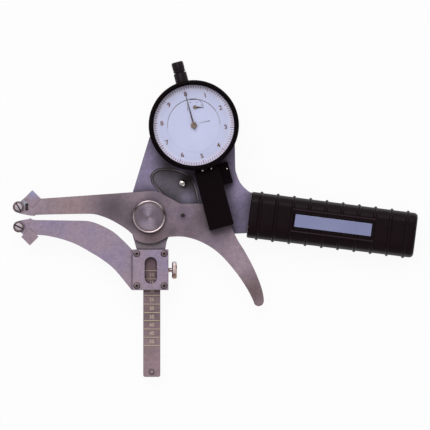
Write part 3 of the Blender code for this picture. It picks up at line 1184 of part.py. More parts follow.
def main():
    clear_scene()
    satin = finish("satin_steel", (0.2, 0.19, 0.25), 0.4, 0.9)
    lever_steel = finish("ground_steel", (0.21, 0.18, 0.21), 0.38, 0.9)
    jaw_steel = finish("jaw_steel", (0.3, 0.27, 0.34), 0.4, 0.9)
    tip_steel = finish("hardened_steel", (0.35, 0.33, 0.45), 0.3, 0.95)
    polished = finish("polished_steel", (0.6, 0.58, 0.6), 0.15, 1.0)
    brass = finish("brass", (0.6, 0.45, 0.2), 0.35, 1.0)
    black = finish("black_steel", (0.02, 0.018, 0.02), 0.4, 0.6)
    rubber = finish("grip_black", (0.02, 0.016, 0.02), 0.55, 0.0)
    rim = finish("bezel_black", (0.008, 0.005, 0.007), 0.35, 0.0)
    paper = finish("dial_white", (0.6, 0.62, 0.8), 0.5, 0.0)
    clear = finish("crystal_clear", (0.9, 0.9, 0.95), 0.05, 0.0)
    plate_finish = finish("name_plate_blue", (0.22, 0.24, 0.42), 0.4, 0.6)

    lever_body = carrier("lever_pivot", (0, 0, LEVER_BACK))
    slider_carrier = carrier("slider_carrier", (BAR_X, SLIDER_TOP_Y, FRAME_BACK))
    clamp_z = (FRAME_BACK + FRAME_FRONT) / 2
    clamp_carrier = carrier("clamp_axis", (SLIDER_RIGHT, CLAMP_Y, clamp_z), slider_carrier)
    bezel_body = carrier("bezel_axis", (DIAL_X, DIAL_Y, BEZEL_LOW))
    spindle_body = carrier("spindle_axis", (DIAL_X, DIAL_Y, SPINDLE_Z))
    gear_body = carrier("gear_axis", (*gear_spot(), GEAR_LOW))
    centre_body = carrier("centre_axis", (DIAL_X, DIAL_Y, GEAR_LOW))
    hairspring_body = carrier("hairspring_axis", (*hairspring_spot(), GEAR_LOW))

    make_frame(satin, polished)
    make_bar(lever_steel, polished, black)
    make_pivot(satin, polished, brass, black)
    make_spring(tip_steel)
    make_lever(lever_steel, tip_steel, polished, lever_body)
    make_slider(jaw_steel, jaw_steel, tip_steel, polished, black, brass, slider_carrier, clamp_carrier)
    make_case(rim, satin, black)
    make_movement(brass, tip_steel)
    make_gears(brass, tip_steel, gear_body, centre_body, hairspring_body)
    make_dial(paper, black, clear, rim, gear_body, centre_body, bezel_body)
    make_spindle(tip_steel, tip_steel, spindle_body)
    make_holder(rim, black)
    make_grip(rubber, plate_finish, black)


main()
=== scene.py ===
import json
import math

import bmesh
import bpy
from mathutils import Matrix, Vector


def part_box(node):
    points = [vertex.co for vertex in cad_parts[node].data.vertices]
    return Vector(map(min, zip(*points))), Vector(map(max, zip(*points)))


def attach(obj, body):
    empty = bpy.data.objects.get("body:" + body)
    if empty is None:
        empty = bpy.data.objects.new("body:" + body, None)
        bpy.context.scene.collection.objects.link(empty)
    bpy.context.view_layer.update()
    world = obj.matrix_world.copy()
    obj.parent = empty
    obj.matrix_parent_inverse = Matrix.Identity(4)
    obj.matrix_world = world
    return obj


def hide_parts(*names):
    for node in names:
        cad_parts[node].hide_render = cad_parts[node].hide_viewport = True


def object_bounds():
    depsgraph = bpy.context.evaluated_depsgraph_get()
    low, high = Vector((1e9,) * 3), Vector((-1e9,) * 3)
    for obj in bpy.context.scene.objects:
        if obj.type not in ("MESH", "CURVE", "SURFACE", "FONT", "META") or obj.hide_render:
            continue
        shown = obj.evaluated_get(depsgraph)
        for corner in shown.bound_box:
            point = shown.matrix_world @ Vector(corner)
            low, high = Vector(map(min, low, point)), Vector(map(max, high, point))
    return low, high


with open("model.json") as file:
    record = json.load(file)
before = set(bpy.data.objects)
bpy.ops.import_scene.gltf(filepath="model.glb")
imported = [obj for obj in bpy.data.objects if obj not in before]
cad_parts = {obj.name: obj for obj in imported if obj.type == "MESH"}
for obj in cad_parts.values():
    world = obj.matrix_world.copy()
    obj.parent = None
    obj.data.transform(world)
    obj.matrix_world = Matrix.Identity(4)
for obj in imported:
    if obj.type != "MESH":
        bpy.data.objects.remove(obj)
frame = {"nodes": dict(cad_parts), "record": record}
cadLow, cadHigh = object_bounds()

mm = 0.001
nodes = frame["nodes"]
record = frame["record"]
bodyOf = {node: body for body, members in record["behaviour"]["bodies"].items() for node in members}
slotOf = {part["node"]: part["material_slot"] for part in record["subparts"]}
dressed = set()  # CAD nodes that already have their finish or their stand-in


def inMm(**sizes):  # sizes written in mm, kept in metres
    return {name: size * mm for name, size in sizes.items()}


def pick(look, names):
    return [look[name] for name in names.split()]



# Shader node helpers

def feed(tree, node, values):  # a number or a tuple is set on its socket, a node's output is linked to it
    for label, value in values.items():
        if isinstance(value, (int, float, tuple)):
            node.inputs[label].default_value = value
        else:
            tree.links.new(value, node.inputs[label])
    return node


def addNode(tree, kind, values=None, **settings):
    node = tree.nodes.new("ShaderNode" + kind)
    for key, setting in settings.items():
        setattr(node, key, setting)
    return feed(tree, node, values or {})


def addMath(tree, operation, *values, clamp=False):
    return addNode(tree, "Math", dict(enumerate(values)), operation=operation, use_clamp=clamp).outputs[0]


def times(tree, first, second, clamp=False):
    return addMath(tree, "MULTIPLY", first, second, clamp=clamp)


def mapRange(tree, value, fromLow, fromHigh, toLow=0.0, toHigh=1.0, smooth=False):
    values = {"Value": value, "From Min": fromLow, "From Max": fromHigh, "To Min": toLow, "To Max": toHigh}
    kind = "SMOOTHSTEP" if smooth else "LINEAR"
    return addNode(tree, "MapRange", values, interpolation_type=kind).outputs[0]


def mixTones(tree, share, first, second, blend="MIX"):
    tones = {0: share, 6: first, 7: second}  # the colour sockets of a Mix node
    return addNode(tree, "Mix", tones, data_type="RGBA", blend_type=blend).outputs[2]


def mixShaders(tree, share, first, second):
    mix = addNode(tree, "MixShader", {0: share, 1: first.outputs[0], 2: second.outputs[0]})
    tree.links.new(mix.outputs[0], tree.nodes["Material Output"].inputs["Surface"])


def tone(red, green, blue):  # 0 to 255, as read off a screen, to the linear values that Blender mixes
    linear = []
    for value in (red, green, blue):
        share = value / 255
        linear.append(share / 12.92 if share <= 0.04045 else ((share + 0.055) / 1.055) ** 2.4)
    return (*linear, 1.0)


def seenRays(tree):  # rays by which a surface is seen, straight or in metal and glass
    rays = addNode(tree, "LightPath").outputs
    mirrored = addMath(tree, "ADD", rays["Is Camera Ray"], rays["Is Glossy Ray"], clamp=True)
    return addMath(tree, "ADD", mirrored, rays["Is Transmission Ray"], clamp=True)


# View, light and floor

cameraView = dict(distance=6.0, sensor=36.0, near=0.01, far=50.0,
                  **inMm(centreX=40.2, centreY=1, widthSeen=262.3, sharpPlane=14))
studio = {"world": 1.08, "zenith": 0.5, "dimFrom": 0.66, "dimTo": 0.94, "sideBias": 0.42,
          "wallFull": 0.12, "wallEnd": 0.3,  # a white wall near the horizon
          "floorTone": 0.9, "floorRough": 0.9, "floorGlow": 0.93, "floorSize": 8.0}
lamps = {"keyLamp": {"spot": (-0.35, 0.95, 1.8), "power": 14.5, "size": 1.2},
         "fillLamp": {"spot": (0.7, -1.2, 1.0), "power": 4.2, "size": 1.4}}


def placeObject(name, data, spot=(0, 0, 0)):
    made = bpy.data.objects.new(name, data)
    made.location = spot
    bpy.context.collection.objects.link(made)
    return made


def buildCamera(scene, middle):
    camera = bpy.data.cameras.new("photoCamera")
    camera.sensor_width = cameraView["sensor"]
    camera.lens = cameraView["sensor"] * cameraView["distance"] / cameraView["widthSeen"]
    camera.clip_start = cameraView["near"]
    camera.clip_end = cameraView["far"]
    scene.camera = placeObject("photoCamera", camera, middle + Vector((0, 0, cameraView["distance"])))


def buildLamps(middle):
    for name, look in lamps.items():
        lamp = bpy.data.lights.new(name, "AREA")
        lamp.energy = look["power"]
        lamp.size = look["size"]
        spot = Vector(look["spot"])
        placeObject(name, lamp, spot).rotation_euler = (middle - spot).to_track_quat("-Z", "Y").to_euler()


def buildWorld(scene):  # a light tent: bright all round, dim straight above
    scene.world = bpy.data.worlds.new("studioWorld")
    scene.world.use_nodes = True
    tree = scene.world.node_tree
    toward = addNode(tree, "SeparateXYZ", {0: addNode(tree, "TexCoord").outputs["Generated"]}).outputs
    tent = mapRange(tree, toward["Z"], studio["dimFrom"], studio["dimTo"], 1.0, studio["zenith"], True)
    side = addMath(tree, "MULTIPLY_ADD", toward["Y"], studio["sideBias"], 1.0 - studio["sideBias"])
    light = times(tree, tent, side)
    wall = mapRange(tree, toward["Z"], studio["wallFull"], studio["wallEnd"], 1.0, 0.0, True)
    white = times(tree, wall, seenRays(tree))
    mix = addNode(tree, "Mix", {"Factor": white, "A": light, "B": 1.0 / studio["world"]})
    feed(tree, tree.nodes["Background"], {"Strength": studio["world"], "Color": mix.outputs[0]})


def buildFloor():
    sheet = bmesh.new()
    bmesh.ops.create_grid(sheet, x_segments=1, y_segments=1, size=studio["floorSize"] / 2)
    mesh = bpy.data.meshes.new("paleFloor")
    sheet.to_mesh(mesh)
    sheet.free()
    placeObject("paleFloor", mesh, (0, 0, cadLow.z))
    material = bpy.data.materials.new("paleFloorPaper")
    material.use_nodes = True
    mesh.materials.append(material)
    tree = material.node_tree
    shader = tree.nodes["Principled BSDF"]
    paper = (studio["floorTone"],) * 3 + (1.0,)
    feed(tree, shader, {"Base Color": paper, "Roughness": studio["floorRough"]})
    seen = times(tree, seenRays(tree), studio["floorGlow"])
    mixShaders(tree, seen, shader, addNode(tree, "Emission"))


def buildStudio():
    scene = bpy.context.scene
    scene.view_settings.view_transform = "Standard"
    middle = Vector((cameraView["centreX"], cameraView["centreY"], cameraView["sharpPlane"]))
    buildCamera(scene, middle)
    buildLamps(middle)
    buildWorld(scene)
    buildFloor()
    print("studio ready")


# Shared surface effects, as node groups

socketKinds = {"Place": "Vector", "Normal": "Vector", "Base": "Color", "Second": "Color", "Color": "Color"}


def newGroup(name, outputs, **starts):  # the sockets that socketKinds leaves out are plain numbers
    group = bpy.data.node_groups.new(name, "ShaderNodeTree")
    for side, labels in (("INPUT", starts), ("OUTPUT", outputs)):
        for label in labels:
            kind = "NodeSocket" + socketKinds.get(label, "Float")
            socket = group.interface.new_socket(label, in_out=side, socket_type=kind)
            if side == "INPUT" and starts[label] is not None:
                socket.default_value = starts[label]
    return group, group.nodes.new("NodeGroupInput").outputs, group.nodes.new("NodeGroupOutput")


def makeMarksGroup(name, fineness, depth, high, texture, values, stretch=None, **settings):
    group, start, end = newGroup(name, ("Mask", "Normal"), Place=None, Fineness=fineness, Depth=depth)
    place = start["Place"]
    if stretch:
        place = addNode(group, "Mapping", {"Vector": place, "Scale": stretch}).outputs[0]
    marks = addNode(group, texture, {"Vector": place, "Scale": start["Fineness"], **values}, **settings)
    mask = marks.outputs["Fac"]
    bump = addNode(group, "Bump", {"Strength": start["Depth"], "Distance": high, "Height": mask})
    feed(group, end, {"Mask": mask, "Normal": bump.outputs[0]})
    return group


def makeMottleGroup():  # broad cloudy change of tone, as handled steel and old paint have
    group, start, end = newGroup("cloudyTone", ("Color", "Mask"), Place=None, Size=60.0, Base=None,
                                 Second=None, Contrast=1.0)
    noise = addNode(group, "TexNoise", {"Vector": start["Place"], "Scale": start["Size"], "Detail": 5.0,
                                        "Roughness": 0.62})
    about = addMath(group, "SUBTRACT", noise.outputs["Fac"], 0.5)
    pushed = times(group, about, start["Contrast"])
    share = addMath(group, "ADD", pushed, 0.5, clamp=True)
    feed(group, end, {"Color": mixTones(group, share, start["Base"], start["Second"]), "Mask": share})
    return group


maskLook = {"samples": 6, "edgeGain": 9.0, "edgeBreaks": 900.0, "cornerGain": 1.6}


def makeEdgeGroup():  # a mask along the edges; the finish's edge tone there is lighter wear on the dark finishes and the name plate, and painted shade on the ground steels
    group, start, end = newGroup("rubbedEdges", ("Mask",), Place=None, Reach=0.5 * mm, Amount=1.0)
    rounded = addNode(group, "Bevel", {"Radius": start["Reach"]}, samples=maskLook["samples"]).outputs[0]
    straight = addNode(group, "NewGeometry").outputs["Normal"]
    facing = addNode(group, "VectorMath", {0: rounded, 1: straight}, operation="DOT_PRODUCT")
    noise = addNode(group, "TexNoise", {"Vector": start["Place"], "Scale": maskLook["edgeBreaks"]})
    turned = addMath(group, "SUBTRACT", 1.0, facing.outputs["Value"])
    broken = times(group, times(group, turned, maskLook["edgeGain"], clamp=True), noise.outputs["Fac"])
    feed(group, end, {"Mask": times(group, broken, start["Amount"], clamp=True)})
    return group


def makeCornerGroup():  # painted shade at the foot of walls, in seams and near tall parts
    group, start, end = newGroup("settledDark", ("Mask",), Reach=1.0 * mm, Amount=1.0)
    hollow = addNode(group, "AmbientOcclusion", {"Distance": start["Reach"]}, samples=maskLook["samples"],
                     only_local=False)
    closed = addMath(group, "SUBTRACT", 1.0, hollow.outputs["AO"])
    pushed = times(group, closed, maskLook["cornerGain"], clamp=True)
    feed(group, end, {"Mask": times(group, pushed, start["Amount"], clamp=True)})
    return group


# a grinding wheel's fine lines along the place's X, moulded grain, and a lathe's rings round the place's Z
grindingLines = makeMarksGroup("grindingLines", 2400.0, 0.1, 0.02 * mm, "TexNoise", {"Detail": 3.0},
                               stretch=(0.03, 1.0, 1.0))
fineGrain = makeMarksGroup("fineGrain", 1500.0, 0.2, 0.05 * mm, "TexNoise", {"Detail": 2.0})
turningRings = makeMarksGroup("turningRings", 700.0, 0.3, 0.02 * mm, "TexWave",
                              {"Distortion": 0.6, "Detail": 2.0}, wave_type="RINGS", rings_direction="Z")
cloudyTone = makeMottleGroup()
rubbedEdges = makeEdgeGroup()
settledDark = makeCornerGroup()


def useGroup(tree, group, **values):
    return feed(tree, addNode(tree, "Group", node_tree=group), values)


# Finishes; every tone is written as read off a screen

# edge: a darker tone along the edges, painted shade; cornerReach: the reach of the painted shade in corners
# and near tall parts
groundSteels = {
    "frameSteel": dict(base=(186, 170, 210), second=(156, 144, 176), edge=(70, 60, 68), turn=72.0,
                       depth=0.16, cloud=45.0, cornerReach=10.0 * mm),
    "leverSteel": dict(base=(196, 172, 186), second=(168, 148, 162), edge=(72, 56, 58), turn=4.0,
                       depth=0.18, cloud=40.0, cornerReach=8.0 * mm),
    "jawSteel": dict(base=(187, 163, 174), second=(170, 154, 184), edge=(84, 66, 72), turn=10.0, depth=0.14,
                     cloud=45.0),
    "barSteel": dict(base=(186, 156, 166), second=(160, 138, 144), edge=(84, 66, 66), turn=90.0, depth=0.16,
                     cloud=80.0, rough=(0.42, 0.55)),
    "tipSteel": dict(base=(188, 164, 176), second=(172, 152, 168), edge=(182, 160, 172), turn=45.0,
                     depth=0.08, cloud=140.0, rough=(0.36, 0.5)),
    "springSteel": dict(base=(150, 148, 152), second=(120, 118, 124), edge=(90, 88, 92), turn=0.0,
                        depth=0.05, cloud=200.0, rough=(0.25, 0.4), metallic=0.9),
}
# corner, cornerReach, cornerAmount: tone, reach and amount of the painted shade in corners
groundStart = dict(texture=grindingLines, fineness=2400.0, metallic=0.5, rough=(0.42, 0.58), contrast=3.2,
                   marked=0.22, wear=1.7, wearReach=0.35 * mm, corner=(34, 26, 30), cornerReach=1.6 * mm,
                   cornerAmount=0.85, gritTone=0.7,
                   grit=((420.0, 2.6, 0.75), (1400.0, 3.0, 0.6)))  # size, contrast, amount

turnedMetals = {
    "polishedSteel": dict(base=(240, 232, 232), second=(222, 208, 204), rough=(0.12, 0.24), depth=0.05),
    "knobFace": dict(base=(166, 152, 166), second=(134, 120, 134), metallic=0.85, rough=(0.34, 0.46),
                     fineness=520.0, depth=0.9, coarse=185.0, streaks=0.7),
    "knobRim": dict(base=(232, 216, 222), second=(208, 190, 198), rough=(0.14, 0.24), depth=0.05),
    "tipScrewFace": dict(base=(226, 216, 224), second=(176, 162, 170), metallic=0.5, rough=(0.3, 0.42)),
    "hubBronze": dict(base=(158, 138, 126), second=(120, 100, 90), metallic=0.8, rough=(0.3, 0.42),
                      fineness=900.0, depth=0.2),
    "thumbWorn": dict(base=(186, 158, 146), second=(160, 134, 122), rough=(0.26, 0.38)),
    "thumbSteel": dict(base=(236, 222, 224), second=(186, 164, 158), metallic=0.9, rough=(0.22, 0.36)),
    "turnedBrass": dict(base=(196, 164, 104), second=(168, 136, 82), rough=(0.26, 0.4), fineness=420.0,
                        depth=0.15),
}
turnedStart = dict(texture=turningRings, metallic=1.0, fineness=500.0, depth=0.1, cloud=110.0, contrast=1.6,
                   marked=0.35, bands=0.6)

darkFinishes = {
    "gaugePaint": dict(base=(7, 1, 4), second=(13, 5, 9), edge=(60, 50, 56), shine=0.045, rough=(0.34, 0.5),
                       fineness=1100.0, depth=0.12, wear=0.4),
    "holderPaint": dict(base=(10, 2, 6), second=(16, 6, 10), edge=(60, 50, 56), shine=0.05,
                        rough=(0.42, 0.6), fineness=1500.0, depth=0.25, wear=0.25),
    "blackOxide": dict(base=(44, 38, 41), second=(58, 50, 54), edge=(130, 120, 124), shine=0.3,
                       rough=(0.32, 0.5), fineness=1800.0, depth=0.15, wear=0.5, metallic=0.5),
    "gripRubber": dict(base=(16, 2, 8), second=(23, 9, 15), edge=(56, 46, 48), shine=0.12,
                       rough=(0.32, 0.46), fineness=1300.0, depth=0.45, wear=0.2),
    # a lighter tone for the panel's borders, a painted highlight
    "gripCrest": dict(base=(54, 38, 46), second=(44, 32, 38), edge=(62, 50, 56), shine=0.15,
                      rough=(0.32, 0.46), fineness=1300.0, depth=0.3, wear=0.2),
    "screwBrown": dict(base=(146, 126, 128), second=(112, 94, 98), edge=(176, 162, 160), shine=0.4,
                       rough=(0.34, 0.48), fineness=1800.0, depth=0.1, wear=0.6, metallic=0.6),
    "stemPaint": dict(base=(22, 13, 18), second=(32, 23, 28), edge=(74, 64, 70), shine=0.12,
                      rough=(0.26, 0.38), fineness=1100.0, depth=0.1, wear=0.4),
    "handPaint": dict(base=(58, 40, 46), second=(72, 54, 58), edge=(100, 84, 86), shine=0.2,
                      rough=(0.35, 0.5), fineness=2500.0, depth=0.05, wear=0.3, metallic=0.2),
}

darkStart = dict(texture=fineGrain, cloud=70.0, contrast=1.8, marked=0.3, wearReach=0.5 * mm, grainy=True)

printedFinishes = {
    "dialPaper": dict(base=(208, 210, 240), second=(199, 202, 232), rough=(0.42, 0.52), fineness=900.0),
    # rim, rimShare: painted light towards the ring's edge, against the bezel's shade
    "dialRingPaper": dict(base=(208, 210, 240), second=(199, 202, 232), rough=(0.42, 0.52), fineness=900.0,
                          rim=(230, 226, 250), rimShare=0.085),
    "numeralInk": dict(base=(118, 66, 58), second=(92, 50, 50)),
    "tickInk": dict(base=(160, 108, 122), second=(138, 94, 108)),
    "greyInk": dict(base=(98, 86, 104), second=(74, 64, 80)),
    "scaleLight": dict(base=(214, 198, 176), second=(186, 168, 148), rough=(0.4, 0.55), depth=0.1),
    "scaleDark": dict(base=(72, 58, 58), second=(90, 74, 72), rough=(0.5, 0.65), depth=0.1),
}
printedStart = dict(texture=fineGrain, rough=(0.5, 0.6), fineness=2500.0, depth=0.05, cloud=90.0,
                    contrast=1.4, marked=0.0, grainy=True)

plateFinishes = {
    "anodisedPlate": dict(base=(150, 154, 192), second=(136, 140, 180), edge=(200, 202, 224), metallic=0.45,
                          rough=(0.36, 0.46), turn=-7.2, texture=grindingLines, fineness=3000.0, depth=0.12,
                          cloud=50.0, contrast=1.5, marked=0.3, wear=0.7, wearReach=0.3 * mm, grainy=True),
}
crystalFinish = {"tint": (0.97, 0.975, 0.985, 1.0), "bends": 1.46, "rough": (0.0, 0.02)}

# tone, x mm, y mm, reach mm, amount: patches of another tone; many are painted shade, painted highlights
# and painted reflections, as said for each finish
toneAndLightPatches = {
    # painted shadows under the bezel and round the post; lighter patches on the right side, the neck and
    # the pocket floor, painted light against the shade there; a darker patch at the pocket's left end
    "frameSteel": [
        ((216, 200, 240), 46, 26, 22, 0.5), ((250, 232, 240), 0, -16, 19, 0.98),
        ((150, 138, 158), 2, 19, 8, 0.4), ((24, 14, 16), 24.5, 23.0, 8.0, 0.95),
        ((70, 58, 62), 12, 31, 12, 0.85), ((204, 196, 232), 24, 9, 9, 0.8)],
    # painted reflections: two dark breaks in the bright rim and a bright patch
    "knobRim": [
        ((44, 32, 36), -8.0, 5.2, 6.5, 0.95), ((44, 32, 36), 9.3, 2.6, 5, 0.95),
        ((255, 252, 250), 5.2, 7.6, 4.2, 0.95)],
    # a painted highlight on its upper side, and painted shade, browner, below it and on its shaft
    "thumbSteel": [
        ((128, 92, 70), 15.4, -36.0, 2.6, 0.95), ((164, 140, 118), 16.9, -30.6, 2.4, 0.85),
        ((124, 88, 80), 12.1, -32.4, 2.3, 0.9), ((246, 244, 255), 15.4, -27.6, 1.6, 0.8)],
    # painted reflection: darker and lighter sectors of the turned face
    "knobFace": [
        ((92, 82, 94), 5.6, -5.0, 6.0, 0.8), ((92, 82, 94), -4.6, 4.0, 5.5, 0.75),
        ((200, 186, 208), -3.6, -4.4, 4.5, 0.4)],
    # a painted highlight, bluish, on the upper tip by its screw
    "tipSteel": [((176, 176, 216), -71, 15, 6, 0.8)],
    # darker, browner patches along the bar
    "barSteel": [((116, 86, 92), 1.6, -34, 16, 0.6), ((118, 98, 100), 1.6, -60, 24, 0.6)],
    # a painted highlight by the tip screw; painted shade round the knob and the pin and beside the holder;
    # darker and warmer patches on the arm and the trigger
    "leverSteel": [
        ((206, 210, 226), -75.6, 8.4, 3.4, 0.8), ((170, 144, 146), -46, 5, 26, 0.7),
        ((94, 82, 90), -22, 5, 24, 0.9), ((108, 94, 102), -12, -4, 12, 0.6),
        ((124, 108, 130), 20, 2, 15, 0.75), ((112, 92, 94), 2, -11, 17, 0.85),
        ((124, 110, 124), 10, 11, 12, 0.6), ((124, 102, 104), 64, -46, 20, 0.9),
        ((80, 76, 84), 20.7, 0.2, 3.6, 0.6), ((149, 133, 151), 39, -14, 17, 0.75),
        ((124, 106, 120), 25, -9, 15, 0.8), ((120, 104, 116), 30, -1, 8, 0.6),
        ((96, 82, 90), 14, -9, 7, 0.7), ((100, 94, 114), 2, 12, 9, 0.5)],
}

# wall and line: painted shade at the top of the pocket's wall and at the foot of its round; band: a painted
# highlight on the round
pocketLook = dict(floor=(126, 118, 132), wall=(34, 26, 28), band=(226, 212, 222), line=(58, 48, 54),
                  corners=((0.4, 5.0), (31.5, 30.6)),  # in mm
                  **inMm(under=0.2, fade=0.6, lineHigh=0.22, deep=2.2, round=1.7, broken=0.35,
                         clearOfPost=3, wallGap=0.03, lineGap=0.02))


def newFinish(name):
    material = bpy.data.materials.new(name)
    material.use_nodes = True
    tree = material.node_tree
    return material, tree, tree.nodes["Principled BSDF"], addNode(tree, "TexCoord").outputs["Object"]


def turnedPlace(tree, place, turn):  # the same place, turned about Z
    values = {"Vector": place, "Rotation": (0, 0, math.radians(turn))}
    return addNode(tree, "Mapping", values, vector_type="TEXTURE").outputs[0]


def mottled(tree, place, look):
    return useGroup(tree, cloudyTone, Place=place, Size=look["cloud"], Contrast=look["contrast"],
                    Base=tone(*look["base"]), Second=tone(*look["second"]))


def veil(tree, effect, share, colour, other):  # a share of the other tone, where the effect's mask is
    return mixTones(tree, times(tree, effect.outputs["Mask"], share), colour, tone(*other))


def softSpot(tree, place, x, y, reach):  # 1 at the spot, fading to 0 at its reach
    values = {"Vector": place, "Location": (x, y, 0)}
    fromSpot = addNode(tree, "Mapping", values, vector_type="TEXTURE").outputs[0]
    flat = addNode(tree, "VectorMath", {0: fromSpot, 1: (1, 1, 0)}, operation="MULTIPLY").outputs[0]
    away = addNode(tree, "VectorMath", {0: flat}, operation="LENGTH").outputs["Value"]
    return mapRange(tree, away, reach, 0.0, smooth=True)


def addTarnish(tree, place, colour, name):
    for spotTone, x, y, reach, amount in toneAndLightPatches.get(name, ()):
        spot = softSpot(tree, place, x * mm, y * mm, reach * mm)
        colour = mixTones(tree, times(tree, spot, amount), colour, tone(*spotTone))
    return colour


def shadePocket(tree, place, colour):  # the milled floor of the pocket is darker than the plate's face; the top of its wall and a thin line at the foot of its round are painted shade, the round itself a painted highlight
    look, face = pocketLook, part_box("frame_plate")[1].z
    height = addNode(tree, "SeparateXYZ", {0: place}).outputs["Z"]
    depth = mapRange(tree, height, face - look["under"], face - look["under"] - look["fade"])
    inside = mixTones(tree, depth, colour, tone(*look["floor"]))
    floor = face - look["deep"]
    bandTop, lineTop = floor + look["round"], floor + look["lineHigh"]
    for part, top, low in (("wall", face - look["wallGap"], bandTop), ("band", bandTop, lineTop),
                           ("line", lineTop, floor + look["lineGap"])):
        below = addMath(tree, "LESS_THAN", height, top)
        above = addMath(tree, "GREATER_THAN", height, low)
        inside = mixTones(tree, times(tree, below, above), inside, tone(*look[part]))
    return inside


def palerRim(tree, place, colour, look):  # painted light towards the dial's edge, where the bezel shades it
    low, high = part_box("dial_ring")
    inward = softSpot(tree, place, (low.x + high.x) / 2, (low.y + high.y) / 2, (high.x - low.x) / 2)
    return mixTones(tree, mapRange(tree, inward, look["rimShare"], 0.0), colour, tone(*look["rim"]))


def addGrit(tree, place, colour, look):
    for size, contrast, amount in look["grit"]:
        grit = useGroup(tree, cloudyTone, Place=place, Size=size, Contrast=contrast, Base=(1.0,) * 4,
                        Second=(look["gritTone"],) * 3 + (1.0,))
        colour = mixTones(tree, amount, colour, grit.outputs["Color"], "MULTIPLY")
    return colour


def makeFinish(name, look):
    material, tree, shader, place = newFinish(name)
    cloud = mottled(tree, place, look)
    along = turnedPlace(tree, place, look["turn"]) if "turn" in look else place
    marks = useGroup(tree, look["texture"], Place=along, Fineness=look["fineness"], Depth=look["depth"])
    colour = cloud.outputs["Color"]
    if look["marked"]:
        colour = veil(tree, marks, look["marked"], colour, look["second"])
    if "coarse" in look:  # broad bands, where the cutter was fed on
        bands = useGroup(tree, look["texture"], Place=place, Fineness=look["coarse"])
        colour = veil(tree, bands, look["bands"], colour, look["second"])
    if name == "frameSteel":
        colour = shadePocket(tree, place, colour)
    if "rim" in look:
        colour = palerRim(tree, place, colour, look)
    # patches of painted shade, painted highlights and painted reflections, and patches of the metal's own
    # tone
    colour = addTarnish(tree, place, colour, name)
    if "grit" in look:
        colour = addGrit(tree, place, colour, look)
    # along the edges: lighter wear on the dark finishes and the name plate, painted shade on the ground
    # steels
    if "edge" in look:
        edges = useGroup(tree, rubbedEdges, Place=place, Amount=look["wear"], Reach=look["wearReach"])
        colour = mixTones(tree, edges.outputs["Mask"], colour, tone(*look["edge"]))
    # painted shade in corners and near tall parts
    if "corner" in look:
        corner = useGroup(tree, settledDark, Reach=look["cornerReach"], Amount=look["cornerAmount"])
        colour = mixTones(tree, corner.outputs["Mask"], colour, tone(*look["corner"]))
    mask = (marks if look.get("grainy") else cloud).outputs["Mask"]
    feed(tree, shader, {"Base Color": colour, "Roughness": mapRange(tree, mask, 0.0, 1.0, *look["rough"]),
                        "Normal": marks.outputs["Normal"], "Metallic": look.get("metallic", 0.0)})
    if "shine" in look:
        feed(tree, shader, {"Specular IOR Level": look["shine"]})
    if "streaks" in look:  # light drawn out across the turning marks
        around = addNode(tree, "Tangent", direction_type="RADIAL", axis="Z").outputs[0]
        feed(tree, shader, {"Tangent": around, "Anisotropic": look["streaks"],
                            "Anisotropic Rotation": 0.25})
    return material


def makeCrystalFinish():  # clear for shadow rays, so that the dial under it stays bright
    material, tree, shader, place = newFinish("clearCrystal")
    grain = useGroup(tree, fineGrain, Place=place, Fineness=300.0, Depth=0.01).outputs["Mask"]
    feed(tree, shader, {"Base Color": crystalFinish["tint"], "IOR": crystalFinish["bends"],
                        "Transmission Weight": 1.0,
                        "Roughness": mapRange(tree, grain, 0.0, 1.0, *crystalFinish["rough"])})
    shadow = addNode(tree, "LightPath").outputs["Is Shadow Ray"]
    mixShaders(tree, shadow, shader, addNode(tree, "BsdfTransparent"))
    return material


finishes = {"clearCrystal": makeCrystalFinish()}
for start, looks in ((groundStart, groundSteels), (turnedStart, turnedMetals), (darkStart, darkFinishes),
                     (printedStart, printedFinishes), ({}, plateFinishes)):
    for name, look in looks.items():
        finishes[name] = makeFinish(name, {**start, **look})
print("finishes ready:", len(finishes))


# Modelling helpers

modelling = dict(flatness=1.0, **inMm(weld=0.002, poleWeld=0.0005, close=0.01))


def at(x, y, z=0.0):
    return Matrix.Translation((x, y, z))


def turnedZ(turn):
    return Matrix.Rotation(math.radians(turn), 4, "Z")


def centreOf(node):
    low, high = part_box(node)
    return (low + high) / 2


def moved(bm, matrix):
    bmesh.ops.transform(bm, matrix=matrix, verts=bm.verts)
    return bm


def evaluatedMesh(item):
    bpy.context.view_layer.update()
    return bpy.data.meshes.new_from_object(item.evaluated_get(bpy.context.evaluated_depsgraph_get()))


def evenShading(mesh):  # large flat faces keep their own direction, so that only the softened edges curve
    work = placeObject("work", mesh)
    step = work.modifiers.new("evenShading", "WEIGHTED_NORMAL")
    step.keep_sharp = True
    step.weight = 100
    shaded = evaluatedMesh(work)
    bpy.data.objects.remove(work)
    bpy.data.meshes.remove(mesh)
    return shaded


def finishPiece(name, bm, finish, body, stands=(), smoothAngle=32, even=False):
    mesh = bpy.data.meshes.new(name)
    bmesh.ops.recalc_face_normals(bm, faces=bm.faces)
    bm.to_mesh(mesh)
    bm.free()
    for finishName in ([finish] if isinstance(finish, str) else finish):
        mesh.materials.append(finishes[finishName])
    mesh.shade_smooth()
    mesh.set_sharp_from_angle(angle=math.radians(smoothAngle))
    if even:
        mesh = evenShading(mesh)
        mesh.name = name
    made = placeObject(name, mesh)
    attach(made, body)
    if stands:
        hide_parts(*stands)
        dressed.update(stands)


def standIn(node, name, bm, finish, smoothAngle=32, even=False):  # shown in place of one CAD node
    finishPiece(name, bm, finish, bodyOf[node], [node], smoothAngle, even=even)


def mergedCopy(node):  # a CAD node's triangles joined into flat faces, to model on
    bm = bmesh.new()
    bm.from_mesh(nodes[node].data)
    bmesh.ops.remove_doubles(bm, verts=bm.verts, dist=modelling["weld"])
    bmesh.ops.dissolve_limit(bm, angle_limit=math.radians(modelling["flatness"]), verts=bm.verts,
                             edges=bm.edges)
    return bm


